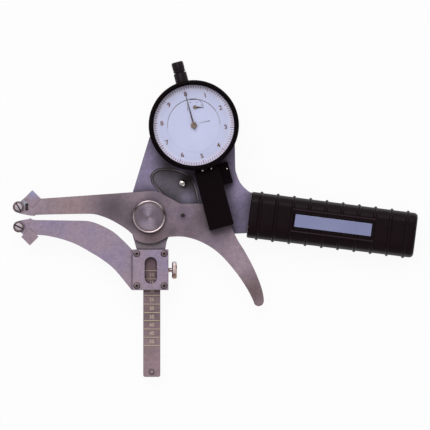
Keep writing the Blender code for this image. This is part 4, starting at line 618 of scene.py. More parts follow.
def bevelEdges(bm, edges, width, segments, clamp=True):
    bmesh.ops.bevel(bm, geom=edges, offset=width, offset_type="OFFSET", affect="EDGES", segments=segments,
                    profile=0.5, material=-1, clamp_overlap=clamp)


def foldedEdges(bm, angle, test=lambda edge: True):  # edges where two faces meet at more than the angle
    return [edge for edge in bm.edges
            if len(edge.link_faces) == 2 and edge.calc_face_angle() > angle and test(edge)]


def softenEdges(bm, width, segments=2, sharpest=38, shortest=0.0, apart=None):
    edges = foldedEdges(bm, math.radians(sharpest), lambda edge: edge.calc_length() > shortest)
    if apart:
        low, high = apart
        edges = [edge for edge in edges if not all(
            low.x - mm < v.co.x < high.x + mm and low.y - mm < v.co.y < high.y + mm for v in edge.verts)]
    bevelEdges(bm, edges, width, segments)
    return bm


def easePocketRim(bm):  # the pocket's wall runs into its floor in a round, and its top edge is broken
    look, face = pocketLook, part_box("frame_plate")[1].z
    (lowX, lowY), (highX, highY) = look["corners"]
    post = centreOf("stop_post").xy
    for height, wide, segments in ((face - look["deep"], look["round"], 4), (face, look["broken"], 2)):
        edges = foldedEdges(bm, 1.0, lambda edge: all(
            abs(v.co.z - height) < 0.02 * mm and lowX < v.co.x / mm < highX and lowY < v.co.y / mm < highY
            and (v.co.xy - post).length > look["clearOfPost"] for v in edge.verts))
        print("pocket edges:", len(edges))
        bevelEdges(bm, edges, wide, segments, clamp=False)


tipOf = {"lever_plate": "upper_contact_tip", "lower_jaw": "lower_contact_tip"}


def softenedPiece(name, node, finish, width, segments=2, grow=0.0, lower=0.0):
    bm = mergedCopy(node)
    low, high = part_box(node)
    if node == "frame_plate":
        easePocketRim(bm)
    if grow:
        share = 1 + grow / ((high - low).x / 2)
        bmesh.ops.scale(bm, vec=(share, share, 1), verts=bm.verts, space=at(*-centreOf(node)))
    if lower:  # its top is let down, nearly flush with the plate that holds it
        for vert in bm.verts:
            if vert.co.z > high.z - modelling["close"]:
                vert.co.z -= lower
    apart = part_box(tipOf[node]) if node in tipOf else None  # a tip's seat keeps its crisp edge
    softenEdges(bm, width, segments, shortest=0.75 * mm, apart=apart)
    standIn(node, name, bm, finish, even=True)


def turnedShape(profile, sides=96, place=None):  # (radius, height) points in metres, spun about Z
    bm = bmesh.new()
    verts = [bm.verts.new((radius, 0, height)) for radius, height in profile]
    edges = [bm.edges.new((verts[i], verts[(i + 1) % len(verts)])) for i in range(len(verts))]
    bmesh.ops.spin(bm, geom=verts + edges, cent=(0, 0, 0), axis=(0, 0, 1), angle=math.tau, steps=sides,
                   use_merge=True)
    bmesh.ops.remove_doubles(bm, verts=bm.verts, dist=modelling["poleWeld"])
    return moved(bm, place) if place else bm


def rod(radius, low, high, sides, place=None):
    return turnedShape([(0, low), (radius, low), (radius, high), (0, high)], sides, place)


def cutGrooves(bm, radius, depth, count, low, high):  # every second pair of the rim's edges sinks in
    for vert in bm.verts:
        if low < vert.co.z < high and vert.co.xy.length > radius - modelling["close"]:
            step = round(math.degrees(math.atan2(vert.co.y, vert.co.x)) / (90 / count))
            if step % 4 in (2, 3):
                vert.co.xy *= (radius - depth) / radius


def addBox(bm, centre, size, turn=0.0):
    matrix = at(*centre) @ Matrix.Rotation(turn, 4, "Z") @ Matrix.Diagonal((*size, 1.0))
    bmesh.ops.create_cube(bm, size=1.0, matrix=matrix)
    return bm


def addText(bm, text, height, thick, place, weight=0.02):
    curve = bpy.data.curves.new("numeral", "FONT")
    curve.body = text
    curve.size = height / 0.7  # a numeral stands about 0.7 of the font's size
    curve.align_x = "CENTER"
    curve.align_y = "CENTER"
    curve.extrude = thick / 2
    curve.offset = height * weight  # heavier strokes
    curve.resolution_u = 3
    holder = placeObject("numeral", curve)
    mesh = evaluatedMesh(holder)
    mesh.transform(place)
    bm.from_mesh(mesh)
    bpy.data.objects.remove(holder)
    bpy.data.meshes.remove(mesh)
    bpy.data.curves.remove(curve)


def cutWith(bm, tool):
    items = []
    for name, shape in (("work", bm), ("helper", tool)):
        bmesh.ops.recalc_face_normals(shape, faces=shape.faces)
        mesh = bpy.data.meshes.new(name)
        shape.to_mesh(mesh)
        shape.free()
        items.append(placeObject(name, mesh))
    step = items[0].modifiers.new("cut", "BOOLEAN")
    step.operation = "DIFFERENCE"
    step.solver = "EXACT"
    step.object = items[1]
    mesh = evaluatedMesh(items[0])
    result = bmesh.new()
    result.from_mesh(mesh)
    for item in items:
        bpy.data.objects.remove(item)
    bpy.data.meshes.remove(mesh)
    return result


def flatShape(outline, low, high):  # a closed outline raised to a plate
    bm = bmesh.new()
    face = bm.faces.new([bm.verts.new((x, y, low)) for x, y in outline])
    raised = bmesh.ops.extrude_face_region(bm, geom=[face])
    top = [item for item in raised["geom"] if isinstance(item, bmesh.types.BMVert)]
    bmesh.ops.translate(bm, verts=top, vec=(0, 0, high - low))
    return bm


def joinShapes(whole, *shapes):
    for shape in shapes:
        mesh = bpy.data.meshes.new("joined")
        shape.to_mesh(mesh)
        shape.free()
        whole.from_mesh(mesh)
        bpy.data.meshes.remove(mesh)
    return whole


def polar(reach, turn):
    return reach * math.cos(turn), reach * math.sin(turn)


def arcPoints(radius, first, last, steps, centre=(0, 0)):  # angles in degrees
    turns = [math.radians(first + (last - first) * step / steps) for step in range(steps + 1)]
    return [(centre[0] + x, centre[1] + y) for x, y in (polar(radius, turn) for turn in turns)]


def paintFaces(bm, slotIndex, test):  # the faces whose centre passes the test take another finish
    for face in bm.faces:
        if test(face.calc_center_median()):
            face.material_index = slotIndex


buildStudio()


# Dial gauge

gauge = dict(tilt=math.radians(15.0), sides=144, **inMm(x=27.3, y=55.6, z=18.8))
alongUp = Vector((-math.sin(gauge["tilt"]), math.cos(gauge["tilt"]), 0))
aside = Vector((math.cos(gauge["tilt"]), math.sin(gauge["tilt"]), 0))
gaugeAxis = Matrix(((aside.x, 0, alongUp.x, gauge["x"]), (aside.y, 0, alongUp.y, gauge["y"]),
                    (0, -1, 0, gauge["z"]), (0, 0, 0, 1)))
onDial = at(gauge["x"], gauge["y"]) @ Matrix.Rotation(gauge["tilt"], 4, "Z")

bezelLook = dict(grooves=120, **inMm(
    outer=27.5, opening=24.5, low=23.3, top=31.7, bore=25.9, seat=25.3, glassR=26.2, glassLow=29,
    seatLow=25.6, grooveDepth=0.35, grooveLow=24.6, grooveHigh=29.6))


def buildBezel():
    look = bezelLook
    r, inner, low, top = pick(look, "outer opening low top")
    bore, seat, glass, seatLow, glassLow = pick(look, "bore seat glassR seatLow glassLow")
    grooveLow, grooveHigh = pick(look, "grooveLow grooveHigh")
    profile = [
        (bore, low), (r - 0.7 * mm, low), (r - 0.25 * mm, low + 0.1 * mm), (r, low + 0.4 * mm),
        (r, grooveLow - 0.35 * mm), (r, grooveLow), (r, grooveHigh), (r, grooveHigh + 0.35 * mm),
        (r, top - 1.0 * mm), (r - 0.25 * mm, top - 0.45 * mm), (r - 0.8 * mm, top - 0.1 * mm),
        (r - 1.4 * mm, top), (inner + 0.9 * mm, top), (inner + 0.35 * mm, top - 0.15 * mm),
        (inner + 0.05 * mm, top - 0.5 * mm), (inner, top - 0.9 * mm), (glass, top - 0.9 * mm),
        (glass, glassLow), (seat, glassLow), (seat, seatLow), (bore, seatLow)]
    bm = turnedShape(profile, look["grooves"] * 4)
    cutGrooves(bm, r, look["grooveDepth"], look["grooves"], grooveLow - modelling["close"],
               grooveHigh + modelling["close"])
    standIn("bezel", "bezelRim", moved(bm, onDial), "gaugePaint", 40)


crystalLook = dict(rings=10, **inMm(radius=25.9, low=29.3, rim=30.2, top=30.5))


def buildCrystal():
    r, low, rim, top, rings = pick(crystalLook, "radius low rim top rings")
    profile = [(0, low), (r - 0.2 * mm, low), (r, low + 0.2 * mm), (r, rim - 0.15 * mm)]
    for ring in range(rings + 1):
        share = 1 - ring / rings
        profile.append(((r - 0.15 * mm) * share, rim + (top - rim) * (1 - share ** 2)))
    standIn("crystal", "gaugeCrystal", turnedShape(profile, gauge["sides"], onDial), "clearCrystal")


dialLook = inMm(
    ringInner=16.3, ringOuter=25, ringLow=25.6, ringTop=26.2, discR=16.25, discLow=25.25, discTop=26.14,
    hole=0.8, footR=0.8, footLow=24.3, footReach=13.04, gearX=27.987, gearY=66.526, soft=0.08)


def buildDial():
    look = dialLook
    soft, inner, outer, low, top = pick(look, "soft ringInner ringOuter ringLow ringTop")
    profile = [(inner, low), (outer, low), (outer, top), (inner + soft, top), (inner, top - soft)]
    standIn("dial_ring", "dialRingPlate", turnedShape(profile, gauge["sides"], onDial), "dialRingPaper")
    r, low, top = pick(look, "discR discLow discTop")
    profile = [(0, low), (r, low), (r, top - soft), (r - soft, top), (0, top)]
    disc = turnedShape(profile, gauge["sides"], onDial)
    for x, y in ((gauge["x"], gauge["y"]), (look["gearX"], look["gearY"])):
        disc = cutWith(disc, rod(look["hole"], low - mm, top + mm, 32, at(x, y)))
    for side in (-1, 1):
        spot = Vector((gauge["x"], gauge["y"], 0)) + aside * look["footReach"] * side
        joinShapes(disc, rod(look["footR"], look["footLow"], low + 0.1 * mm, 24, at(spot.x, spot.y)))
    standIn("dial_centre", "dialCentreDisc", disc, "dialPaper")


printLook = dict(marks=100, weight=0.045, **inMm(
    ink=0.02, sink=0.005, outer=24.3, short=1.7, middle=1.9, long=2.3, thin=0.36, heavy=0.44,
    numeralR=19.4, numeralHeight=2.7))


def buildDialPrint():
    look, marks, numerals = printLook, bmesh.new(), bmesh.new()
    z = dialLook["ringTop"] - look["sink"] + look["ink"] / 2
    for step in range(look["marks"]):
        turn = math.radians(90 - 360 * step / look["marks"])
        length = look["long"] if step % 10 == 0 else look["middle"] if step % 5 == 0 else look["short"]
        width = look["heavy"] if step % 10 == 0 else look["thin"]
        addBox(marks, (*polar(look["outer"] - length / 2, turn), z), (length, width, look["ink"]), turn)
    for number in range(10):
        turn = math.radians(90 - 36 * number)
        addText(numerals, str(number), look["numeralHeight"], look["ink"],
                at(*polar(look["numeralR"], turn), z), look["weight"])
    for name, bm, ink in (("dialMarks", marks, "tickInk"), ("dialNumerals", numerals, "numeralInk")):
        finishPiece(name, moved(bm, onDial), ink, "bezel_ring")


smallDialLook = dict(
    arcs=((-10, 96), (148, 166)),
    marks=((70, 3.4, 0.7), (133, 4.0, 0.8), (176, 4.3, 0.9), (190, 4.5, 1.2), (203, 4.6, 1.2),
           (20, 4.2, 0.5), (228, 4.6, 0.6)),  # angle, reach mm, length mm
    limitArcs=((-12, 20, 0.2), (20, 132, 0.38), (132, 172, 0.24), (70, 84, 0.7)),  # from, to, width mm
    dashes=((4.3, 0.6), (5.6, 0.5), (6.8, 0.8), (8.0, 0.7), (9.1, 0.9), (9.9, 0.5)),  # place and length, mm
    dashFall=0.06,
    **inMm(ringR=5, line=0.3, markWidth=0.4, limitR=15.85, dashWidth=0.55, dashUp=0.5, dashFrom=4))


def arcShape(radius, width, first, last, low, high):  # a flat band round Z, angles in degrees
    steps = max(2, round(abs(last - first) / 3))
    outer, inner = (arcPoints(radius + side * width / 2, first, last, steps) for side in (1, -1))
    return flatShape(outer + inner[::-1], low, high)


def buildCentrePrint():
    look, ink, small, large = smallDialLook, printLook["ink"], bmesh.new(), bmesh.new()
    low = dialLook["discTop"] - printLook["sink"]
    for turn, reach, length in look["marks"]:
        turn = math.radians(turn)
        addBox(small, (*polar(reach * mm, turn), low + ink / 2), (length * mm, look["markWidth"], ink),
               turn + math.pi / 2)
    for first, last in look["arcs"]:
        joinShapes(small, arcShape(look["ringR"], look["line"], first, last, low, low + ink))
    for first, last, width in look["limitArcs"]:
        joinShapes(large, arcShape(look["limitR"], width * mm, first, last, low, low + ink))
    for across, length in look["dashes"]:
        up = look["dashUp"] - (across * mm - look["dashFrom"]) * look["dashFall"]
        addBox(large, (across * mm, up, low + ink / 2), (length * mm, look["dashWidth"], ink))
    whole = joinShapes(moved(small, at(dialLook["gearX"], dialLook["gearY"])), moved(large, onDial))
    finishPiece("smallDialMarks", whole, "greyInk", "frame")


handSoft = 0.05 * mm
hands = {
    "main_hand": dict(name="longHand", spot=(gauge["x"], gauge["y"]), turn=105.0, **inMm(
        length=21.6, tail=2.6, hub=1.9, width=0.5, low=27.5, thick=0.4, top=28.2)),
    "small_hand": dict(name="shortHand", spot=(dialLook["gearX"], dialLook["gearY"]), turn=0.0, **inMm(
        length=5, tail=0.4, hub=1.2, width=0.6, low=26.5, thick=0.4, top=27.2)),
}


def buildHands():
    for node, look in hands.items():
        tail, width, low, thick, length = pick(look, "tail width low thick length")
        r, top, spot = pick(look, "hub top spot")
        blade = flatShape([(-tail, width * 0.5), (-tail, -width * 0.5), (0, -width), (length, -width / 6),
                           (length, width / 6), (0, width)], low, low + thick)
        softenEdges(blade, handSoft, 1)
        hub = turnedShape([(0, low), (r - 0.1 * mm, low), (r, low + 0.1 * mm), (r, top - 0.2 * mm),
                           (r - 0.2 * mm, top), (r * 0.5, top), (r * 0.42, top - 0.12 * mm),
                           (0, top - 0.08 * mm)], 48)
        whole = moved(joinShapes(blade, hub), at(*spot) @ turnedZ(look["turn"]))
        paintFaces(whole, 1, lambda c: (c.xy - Vector(spot)).length < r and c.z > low + thick * 0.6)
        standIn(node, look["name"], whole, ["handPaint", "hubBronze"])


stemLook = inMm(bore=2.4, collarR=3.95, collarStart=24.3, collarEnd=33.2, capR=3.65, capEnd=40,
                caseR=25.6, spigotR=2.875, gap=0.3)


def buildStemAndCap():
    look = stemLook
    bore, r, start, end, gap, spigot = pick(look, "bore collarR collarStart collarEnd gap spigotR")
    wide, foot = spigot + gap, look["caseR"] + gap
    profile = [(bore, start), (r, start), (r, end - 0.55 * mm), (r - 0.15 * mm, end - 0.2 * mm),
               (r - 0.45 * mm, end), (wide, end), (wide, foot), (bore, foot)]
    standIn("gauge_collar", "stemCollar", turnedShape(profile, 64, gaugeAxis), "stemPaint")
    r, low, top, foot = look["capR"], end + gap, look["capEnd"], look["caseR"] + 0.6 * mm
    profile = [(bore, foot), (spigot, foot), (spigot, low), (r - 0.25 * mm, low), (r, low + 0.25 * mm),
               (r, low + 1.1 * mm), (r - 0.2 * mm, low + 1.3 * mm), (r - 0.2 * mm, low + 1.5 * mm),
               (r, low + 1.7 * mm), (r, top - 1.0 * mm), (r - 0.2 * mm, top - 0.45 * mm),
               (r - 0.7 * mm, top), (0, top), (0, top - 0.9 * mm), (bore, top - 0.9 * mm)]
    standIn("gauge_cap", "stemCap", turnedShape(profile, 64, gaugeAxis), "stemPaint")


mountPinLook = dict(spots=((32.6, 28.2, 0.75), (37.9, 29.4, 0.55), (47.5, 29.2, 0.4)),  # x, y, radius in mm
                    **inMm(stand=0.35, deep=1))


def buildMountPins():  # polished pin ends in the mount, just below the bezel
    top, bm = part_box("gauge_holder")[1].z, bmesh.new()
    stand, foot = mountPinLook["stand"], top - mountPinLook["deep"]
    for x, y, radius in mountPinLook["spots"]:
        r = radius * mm
        profile = [(0, foot), (r, foot), (r, top + stand * 0.3), (r * 0.85, top + stand * 0.7),
                   (r * 0.5, top + stand * 0.95), (0, top + stand)]
        joinShapes(bm, turnedShape(profile, 24, at(x * mm, y * mm)))
    finishPiece("mountPins", bm, "polishedSteel", bodyOf["gauge_holder"])


softenedPiece("gaugeHousing", "gauge_case", "gaugePaint", 0.25 * mm)
softenedPiece("gaugeMount", "gauge_holder", "holderPaint", 0.45 * mm, 3)
buildBezel()
buildCrystal()
buildDial()
buildDialPrint()
buildCentrePrint()
buildHands()
buildStemAndCap()
buildMountPins()
print("gauge ready")


# Frame, lever, jaws and pivot

plates = {  # stand-in: node, finish, edge width, segments, growth, how far its top is let down
    "frameBlade": ("frame_plate", "frameSteel", 0.42 * mm, 3),
    "measuringLever": ("lever_plate", "leverSteel", 0.36 * mm, 3),
    "lowerJawBlade": ("lower_jaw", "jawSteel", 0.25 * mm, 2),
    "upperTip": ("upper_contact_tip", "tipSteel", 0.03 * mm, 1, 0.31 * mm, 0.17 * mm),
    "lowerTip": ("lower_contact_tip", "tipSteel", 0.03 * mm, 1, 0.31 * mm, 0.17 * mm),
    "leverPad": ("spindle_pad", "tipSteel", 0.3 * mm, 2),
    "sliderBlock": ("slider_body", "jawSteel", 0.4 * mm, 3),
    "sliderLid": ("slider_cover", "jawSteel", 0.1 * mm, 2),
    "scaleBar": ("slide_bar", "barSteel", 0.2 * mm, 2),
}
slitInsert = inMm(fromScrew=5.1, wide=1.64, long=4.24, low=13.3, high=15.28)
stopStrip = {"from": (-7.6, -19.98, 8.6), "to": (9.9, -19.45, 11.3),  # in mm; a dark strip under the neck's foot, painted shade in the gap there
             "soft": 0.06 * mm}


def buildPlates():
    for name, settings in plates.items():
        softenedPiece(name, *settings)
    look, screw = slitInsert, centreOf("lower_tip_screw")
    bm = addBox(bmesh.new(), (screw.x + look["fromScrew"], screw.y, (look["low"] + look["high"]) / 2),
                (look["wide"], look["long"], look["high"] - look["low"]))
    finishPiece("slitInsert", bm, "jawSteel", bodyOf["lower_jaw"], even=True)
    low, high = Vector(stopStrip["from"]) * mm, Vector(stopStrip["to"]) * mm
    bm = softenEdges(addBox(bmesh.new(), (low + high) / 2, high - low), stopStrip["soft"], 1)
    finishPiece("stopStrip", bm, "blackOxide", bodyOf["frame_plate"], even=True)


knobLook = inMm(outer=9.95, low=15.6, top=18.6, beadR=9.42, bead=0.52, faceR=8.75, faceDrop=0.5,
                shankR=4, threadR=3, tip=2.2, foot=6.8)


def buildKnob():
    look = knobLook
    outer, low, top, bead, faceR, shank, thread, tip, foot = pick(
        look, "outer low top bead faceR shankR threadR tip foot")
    face = top - look["faceDrop"]
    profile = [
        (0, tip), (thread - 0.4 * mm, tip), (thread, tip + 0.4 * mm), (thread, foot), (shank, foot),
        (shank, low), (outer - 0.3 * mm, low), (outer, low + 0.3 * mm), (outer, top - bead),
        *arcPoints(bead, 15, 175, 8, (look["beadR"], top - bead)),
        (faceR, face - 0.25 * mm), (faceR - 0.45 * mm, face - 0.25 * mm), (faceR - 0.6 * mm, face),
        (0, face)]
    bm = turnedShape(profile, 128)
    inFace, groove = faceR + 0.05 * mm, faceR - 0.55 * mm
    paintFaces(bm, 1, lambda c: c.z > face - 0.3 * mm and c.xy.length < inFace)
    # the groove round the face is painted brown, a painted shade
    paintFaces(bm, 2, lambda c: c.z > face - 0.3 * mm and groove < c.xy.length < inFace + 0.2 * mm)
    standIn("pivot_bolt", "pivotKnob", bm, ["knobRim", "knobFace", "screwBrown"], 30)


coverLook = inMm(outer=14, height=7.7, wall=1.2, bossR=5.2, bossTop=6.8, boreR=3.3, floor=1.9,
                 notchNear=0.7, notchWide=4.5, notchDeep=4)


def buildNutCover():
    look = coverLook
    r, height, wall, boss, bore, floor = pick(look, "outer height wall bossR boreR floor")
    rim, wide, deep = r - wall, look["notchWide"], look["notchDeep"]
    profile = [(0, 0.25 * mm), (r * 0.55, 0.25 * mm), (r * 0.58, 0), (r - 0.8 * mm, 0),
               (r - 0.25 * mm, 0.22 * mm), (r, 0.8 * mm), (r, height), (rim, height), (rim, wall),
               (boss, wall), (boss, look["bossTop"]), (bore, look["bossTop"]), (bore, floor), (0, floor)]
    middle = (rim / 2 + r + mm) / 2, look["notchNear"] + wide / 2, height - deep / 2 + mm
    notch = addBox(bmesh.new(), middle, (r + mm - rim / 2, wide, deep + 2 * mm))
    standIn("pivot_nut_cover", "nutCover", cutWith(turnedShape(profile, 128), notch), "blackOxide")


# half sections of the small turned pins: radius and height in mm
postSection = ((0, 8), (1.2, 8), (1.2, 10.1), (1.95, 10.1), (2.2, 10.3), (2.2, 10.7), (1.9, 10.85),
               (1.5, 11.1), (1.5, 11.9), (1.9, 12.3), (2.15, 12.5), (2.2, 12.8), (2.1, 13.15), (1.8, 13.5),
               (1.3, 13.74), (0.7, 13.87), (0, 13.9))
stopPinSection = ((0, 8.0), (0.85, 8.0), (0.85, 12.3), (1.1, 12.3), (1.2, 12.4), (1.2, 13.1), (1.1, 13.45),
                  (0.85, 13.7), (0.45, 13.85), (0, 13.9))
stopPinRim = 0.75 * mm
leverPinLook = inMm(collar=0.27, collarLong=2.9, soft=0.2)  # fills its hole in the lever


def atCentre(node):
    centre = centreOf(node)
    return at(centre.x, centre.y)


def buildPins():
    bm = turnedShape([(r * mm, z * mm) for r, z in postSection], 48, atCentre("stop_post"))
    standIn("stop_post", "pocketPost", bm, "polishedSteel")

    bm = turnedShape([(r * mm, z * mm) for r, z in stopPinSection], 40, atCentre("bar_stop_pin"))
    centre = centreOf("bar_stop_pin")
    # the crown's lighter steel is a painted highlight; the sides take the brown finish
    paintFaces(bm, 1, lambda c: (c.xy - centre.xy).length > stopPinRim)
    standIn("bar_stop_pin", "barEndPin", bm, ["tipSteel", "screwBrown"])

    low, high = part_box("lever_spring_pin")
    r, soft = (high.x - low.x) / 2, leverPinLook["soft"]
    collar, shoulder = r + leverPinLook["collar"], high.z - leverPinLook["collarLong"]
    profile = [(0, low.z), (r - soft, low.z), (r, low.z + soft), (r, shoulder), (collar, shoulder),
               (collar, high.z - soft), (collar - soft, high.z), (0, high.z)]
    bm = turnedShape(profile, 40, atCentre("lever_spring_pin"))
    standIn("lever_spring_pin", "springPin", bm, "blackOxide")


tipScrewLook = dict(slotTurn={"upper": -60.0, "lower": -25.0}, **inMm(
    head=3.1, seat=15.6, top=16.9, shank=1.2, foot=12.3, slot=0.85, slotDepth=0.7, rim=2.3))


def buildTipScrews():
    look = tipScrewLook
    r, seat, top, shank, foot = pick(look, "head seat top shank foot")
    profile = [(0, foot), (shank - 0.2 * mm, foot), (shank, foot + 0.2 * mm), (shank, seat),
               (r - 0.15 * mm, seat), (r, seat + 0.15 * mm), (r, top - 0.5 * mm),
               (r - 0.12 * mm, top - 0.3 * mm), (r - 0.45 * mm, top - 0.12 * mm),
               (r - 0.6 * mm, top - 0.28 * mm), (r - 0.8 * mm, top - 0.28 * mm),
               (r - 0.95 * mm, top - 0.08 * mm), (r * 0.35, top), (0, top)]
    floor = top - look["slotDepth"] - 0.1 * mm
    for jaw, turn in look["slotTurn"].items():
        node = jaw + "_tip_screw"
        slot = addBox(bmesh.new(), (0, 0, top), (r * 3, look["slot"], look["slotDepth"] * 2),
                      math.radians(turn))
        bm = cutWith(turnedShape(profile, 64), slot)
        paintFaces(bm, 1, lambda c: c.z > seat and c.xy.length > look["rim"])
        # the slot's walls and floor are painted black, a painted shade
        paintFaces(bm, 2, lambda c: floor < c.z < top - 0.2 * mm and c.xy.length < r - 0.5 * mm)
        standIn(node, jaw + "TipScrew", moved(bm, atCentre(node)),
                ["tipScrewFace", "screwBrown", "blackOxide"], 28)


buildPlates()
buildKnob()
buildNutCover()
buildPins()
buildTipScrews()
print("frame, lever and jaws ready")


# Slider and scale bar

coverScrewLook = inMm(head=1.8, seat=16.4, top=17.6, shank=0.75, foot=8.9, socket=0.95, socketDepth=0.8)


def buildCoverScrews():
    look = coverScrewLook
    r, seat, top, shank, foot = pick(look, "head seat top shank foot")
    socket, floor = look["socket"], top - look["socketDepth"]
    profile = [(0, foot), (shank, foot), (shank, seat), (r, seat), (r, top - 0.3 * mm),
               (r - 0.1 * mm, top - 0.1 * mm), (r - 0.35 * mm, top), (0, top)]
    for letter in "abcd":
        node = "slider_cover_screw_" + letter
        bm = cutWith(turnedShape(profile, 48), rod(socket, floor, top + mm, 6))
        # the socket is painted black, a painted shade
        paintFaces(bm, 1, lambda c: c.xy.length < socket and floor - 0.1 * mm < c.z < top - 0.01 * mm)
        moved(bm, atCentre(node))
        standIn(node, "lidScrew" + letter.upper(), bm, ["screwBrown", "blackOxide"], 28)


thumbLook = dict(grooves=48, **inMm(
    shaft=1.3, tip=8.05, start=13.9, end=17, radius=5.3, waist=0.7, land=0.05, grooveDepth=0.12,
    y=-32.6, z=10, worn=3.4))


def buildThumbScrew():
    look = thumbLook
    r, start, end, waist, land, shaft, tip = pick(look, "radius start end waist land shaft tip")
    profile = [(0, tip), (shaft - 0.25 * mm, tip), (shaft, tip + 0.25 * mm), (shaft, start),
               (r - waist, start), (r, start + waist), (r, start + waist + land), (r, end - waist - land),
               (r, end - waist), (r - waist, end), (r * 0.45, end), (r * 0.4, end - 0.2 * mm),
               (0, end - 0.2 * mm)]
    bm = turnedShape(profile, look["grooves"] * 4)
    cutGrooves(bm, r, look["grooveDepth"], look["grooves"], start + waist + 0.02 * mm,
               end - waist - 0.02 * mm)
    moved(bm, at(0, look["y"], look["z"]) @ Matrix.Rotation(math.pi / 2, 4, "Y"))
    # the lower side of the knurled rim takes a browner finish, painted shade
    paintFaces(bm, 1, lambda c: c.y < look["y"] - look["worn"] and c.x > start)
    standIn("slider_clamp_screw", "thumbScrew", bm, ["thumbSteel", "thumbWorn"], 35)


barPrintLook = dict(
    lines=(-33.0, -38.0, -43.0, -48.1, -53.4, -58.6, -63.5, -68.6, -73.6, -78.8),  # y in mm
    firstNumber=10, stepNumber=5,
    **inMm(lineLight=0.42, lineDark=0.3, numeral=2.1, numeralDrop=2.6, face=12, ink=0.02, sink=0.005,
           inset=0.3))


def buildBarPrint():
    look, light, dark = barPrintLook, bmesh.new(), bmesh.new()
    low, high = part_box("slide_bar")
    left, right = low.x + look["inset"], high.x - look["inset"]
    middle, length = (left + right) / 2, right - left
    z = look["face"] - look["sink"] + look["ink"] / 2
    for number, line in enumerate(look["lines"]):
        y = line * mm
        addBox(light, (middle, y, z), (length, look["lineLight"], look["ink"]))
        # a dark strip just below each line, the painted shadow of its engraved edge
        addBox(dark, (middle, y - (look["lineLight"] + look["lineDark"]) / 2, z),
               (length, look["lineDark"], look["ink"]))
        if number < len(look["lines"]) - 1:
            label = str(look["firstNumber"] + look["stepNumber"] * number)
            addText(light, label, look["numeral"], look["ink"], at(middle, y - look["numeralDrop"], z))
    finishPiece("barLines", light, "scaleLight", "frame")
    finishPiece("barLineShades", dark, "scaleDark", "frame")


buildCoverScrews()
buildThumbScrew()
buildBarPrint()
print("slider and scale ready")


# Grip

grip = dict(turn=-7.2, ribs=10, corner=0.28, tightCorner=0.35, **inMm(
    x=61.35, y=1.2, length=102, half=14.1, flat=9, thick=20, side=3.2, taper=0.4, endRound=2.4,
    ribPitch=10, ribFirst=5.8, ribHeight=0.9, split=0.04))
tang = inMm(length=88.3, half=6.8, low=7.7, high=12.3)
gripBores = dict(along=(0.13, 0.5, 0.8), **inMm(span=88, screwR=1.8, screwTop=14.8, headR=2.9, headTop=3.3))
panel = dict(railShare=0.7, **inMm(
    start=25.3, end=77.3, half=7.3, border=0.9, sink=0.4, thick=3.2, soft=0.4, floorSoft=0.15, play=0.6,
    railHigh=0.3, railSoft=0.08))
namePlate = inMm(start=27.8, end=74.8, half=3.85, thick=0.6, corner=0.45, soft=0.1)
onGrip = at(grip["x"], grip["y"]) @ turnedZ(grip["turn"])
ribShape = ((-1.15, 0.0), (-0.85, 0.3), (-0.62, 0.68), (-0.36, 0.86), (0.0, 0.9), (0.36, 0.86),
            (0.62, 0.68), (0.85, 0.3), (1.15, 0.0))  # along and out, in mm
gripStart = ((-0.25, -0.7), (0.1, -0.25), (0.6, 0.0))


def gripSection(side, along, out):  # half of the grip's outline at one place, with rounded corners
    half = grip["half"] - grip["taper"] * along / grip["length"] + out
    flat = grip["flat"] + out / 2
    middle = grip["thick"] / 2
    split = middle + side * grip["split"] / 2
    sideZ = split + side * grip["side"]
    topZ = middle + side * (middle - grip["ribHeight"] + out)
    shoulder = ((half * 2 + flat) / 3, (sideZ + topZ * 2) / 3)
    corners = [(half, split), (half, sideZ), shoulder, (flat, topZ)]
    corners += [(-x, z) for x, z in reversed(corners)]
    points = [corners[0]]
    for before, corner, after in zip(corners, corners[1:], corners[2:]):
        share = grip["corner"]
        tight = grip["tightCorner"] if abs(after[0] - corner[0]) > grip["flat"] else 1
        near = [corner[i] + (before[i] - corner[i]) * share for i in (0, 1)]
        far = [corner[i] + (after[i] - corner[i]) * share * tight for i in (0, 1)]
        for step in (0, 0.5, 1):
            pulls = (near, (1 - step) ** 2), (corner, 2 * step * (1 - step)), (far, step ** 2)
            points.append(tuple(sum(point[i] * pull for point, pull in pulls) for i in (0, 1)))
    return points + [corners[-1]]


def gripStations():
    stations = list(gripStart)
    for rib in range(grip["ribs"]):
        middle = (grip["ribFirst"] + rib * grip["ribPitch"]) / mm
        stations += [(middle + step, out) for step, out in ribShape]
    length, roundEnd = grip["length"] / mm, grip["endRound"] / mm
    for step in range(6):
        turn = math.radians(90 * step / 5)
        fall, reach = polar(roundEnd, turn)
        stations.append((length - roundEnd + reach, -roundEnd + fall))
    return [(along * mm, out * mm) for along, out in stations]


def gripHalf(side):
    bm, rings = bmesh.new(), []
    for along, out in gripStations():
        verts = [bm.verts.new((along, across, z)) for across, z in gripSection(side, along, out)]
        rings.append([bm.edges.new((verts[i], verts[(i + 1) % len(verts)])) for i in range(len(verts))])
    for first, second in zip(rings, rings[1:]):
        bmesh.ops.bridge_loops(bm, edges=first + second)
    for ring in (rings[0], rings[-1]):
        bmesh.ops.contextual_create(bm, geom=ring)
    bmesh.ops.recalc_face_normals(bm, faces=bm.faces)
    return bm


def gripTools(rear):
    tools = [addBox(bmesh.new(), ((tang["length"] - mm) / 2, 0, (tang["low"] + tang["high"]) / 2),
                    (tang["length"] + mm, tang["half"] * 2, tang["high"] - tang["low"]))]
    for share in gripBores["along"]:
        spot = at(share * gripBores["span"], 0)
        tools.append(rod(gripBores["screwR"], -mm, gripBores["screwTop"], 32, spot))
        if rear:
            tools.append(rod(gripBores["headR"], -2 * mm, gripBores["headTop"], 40, spot))
    return tools


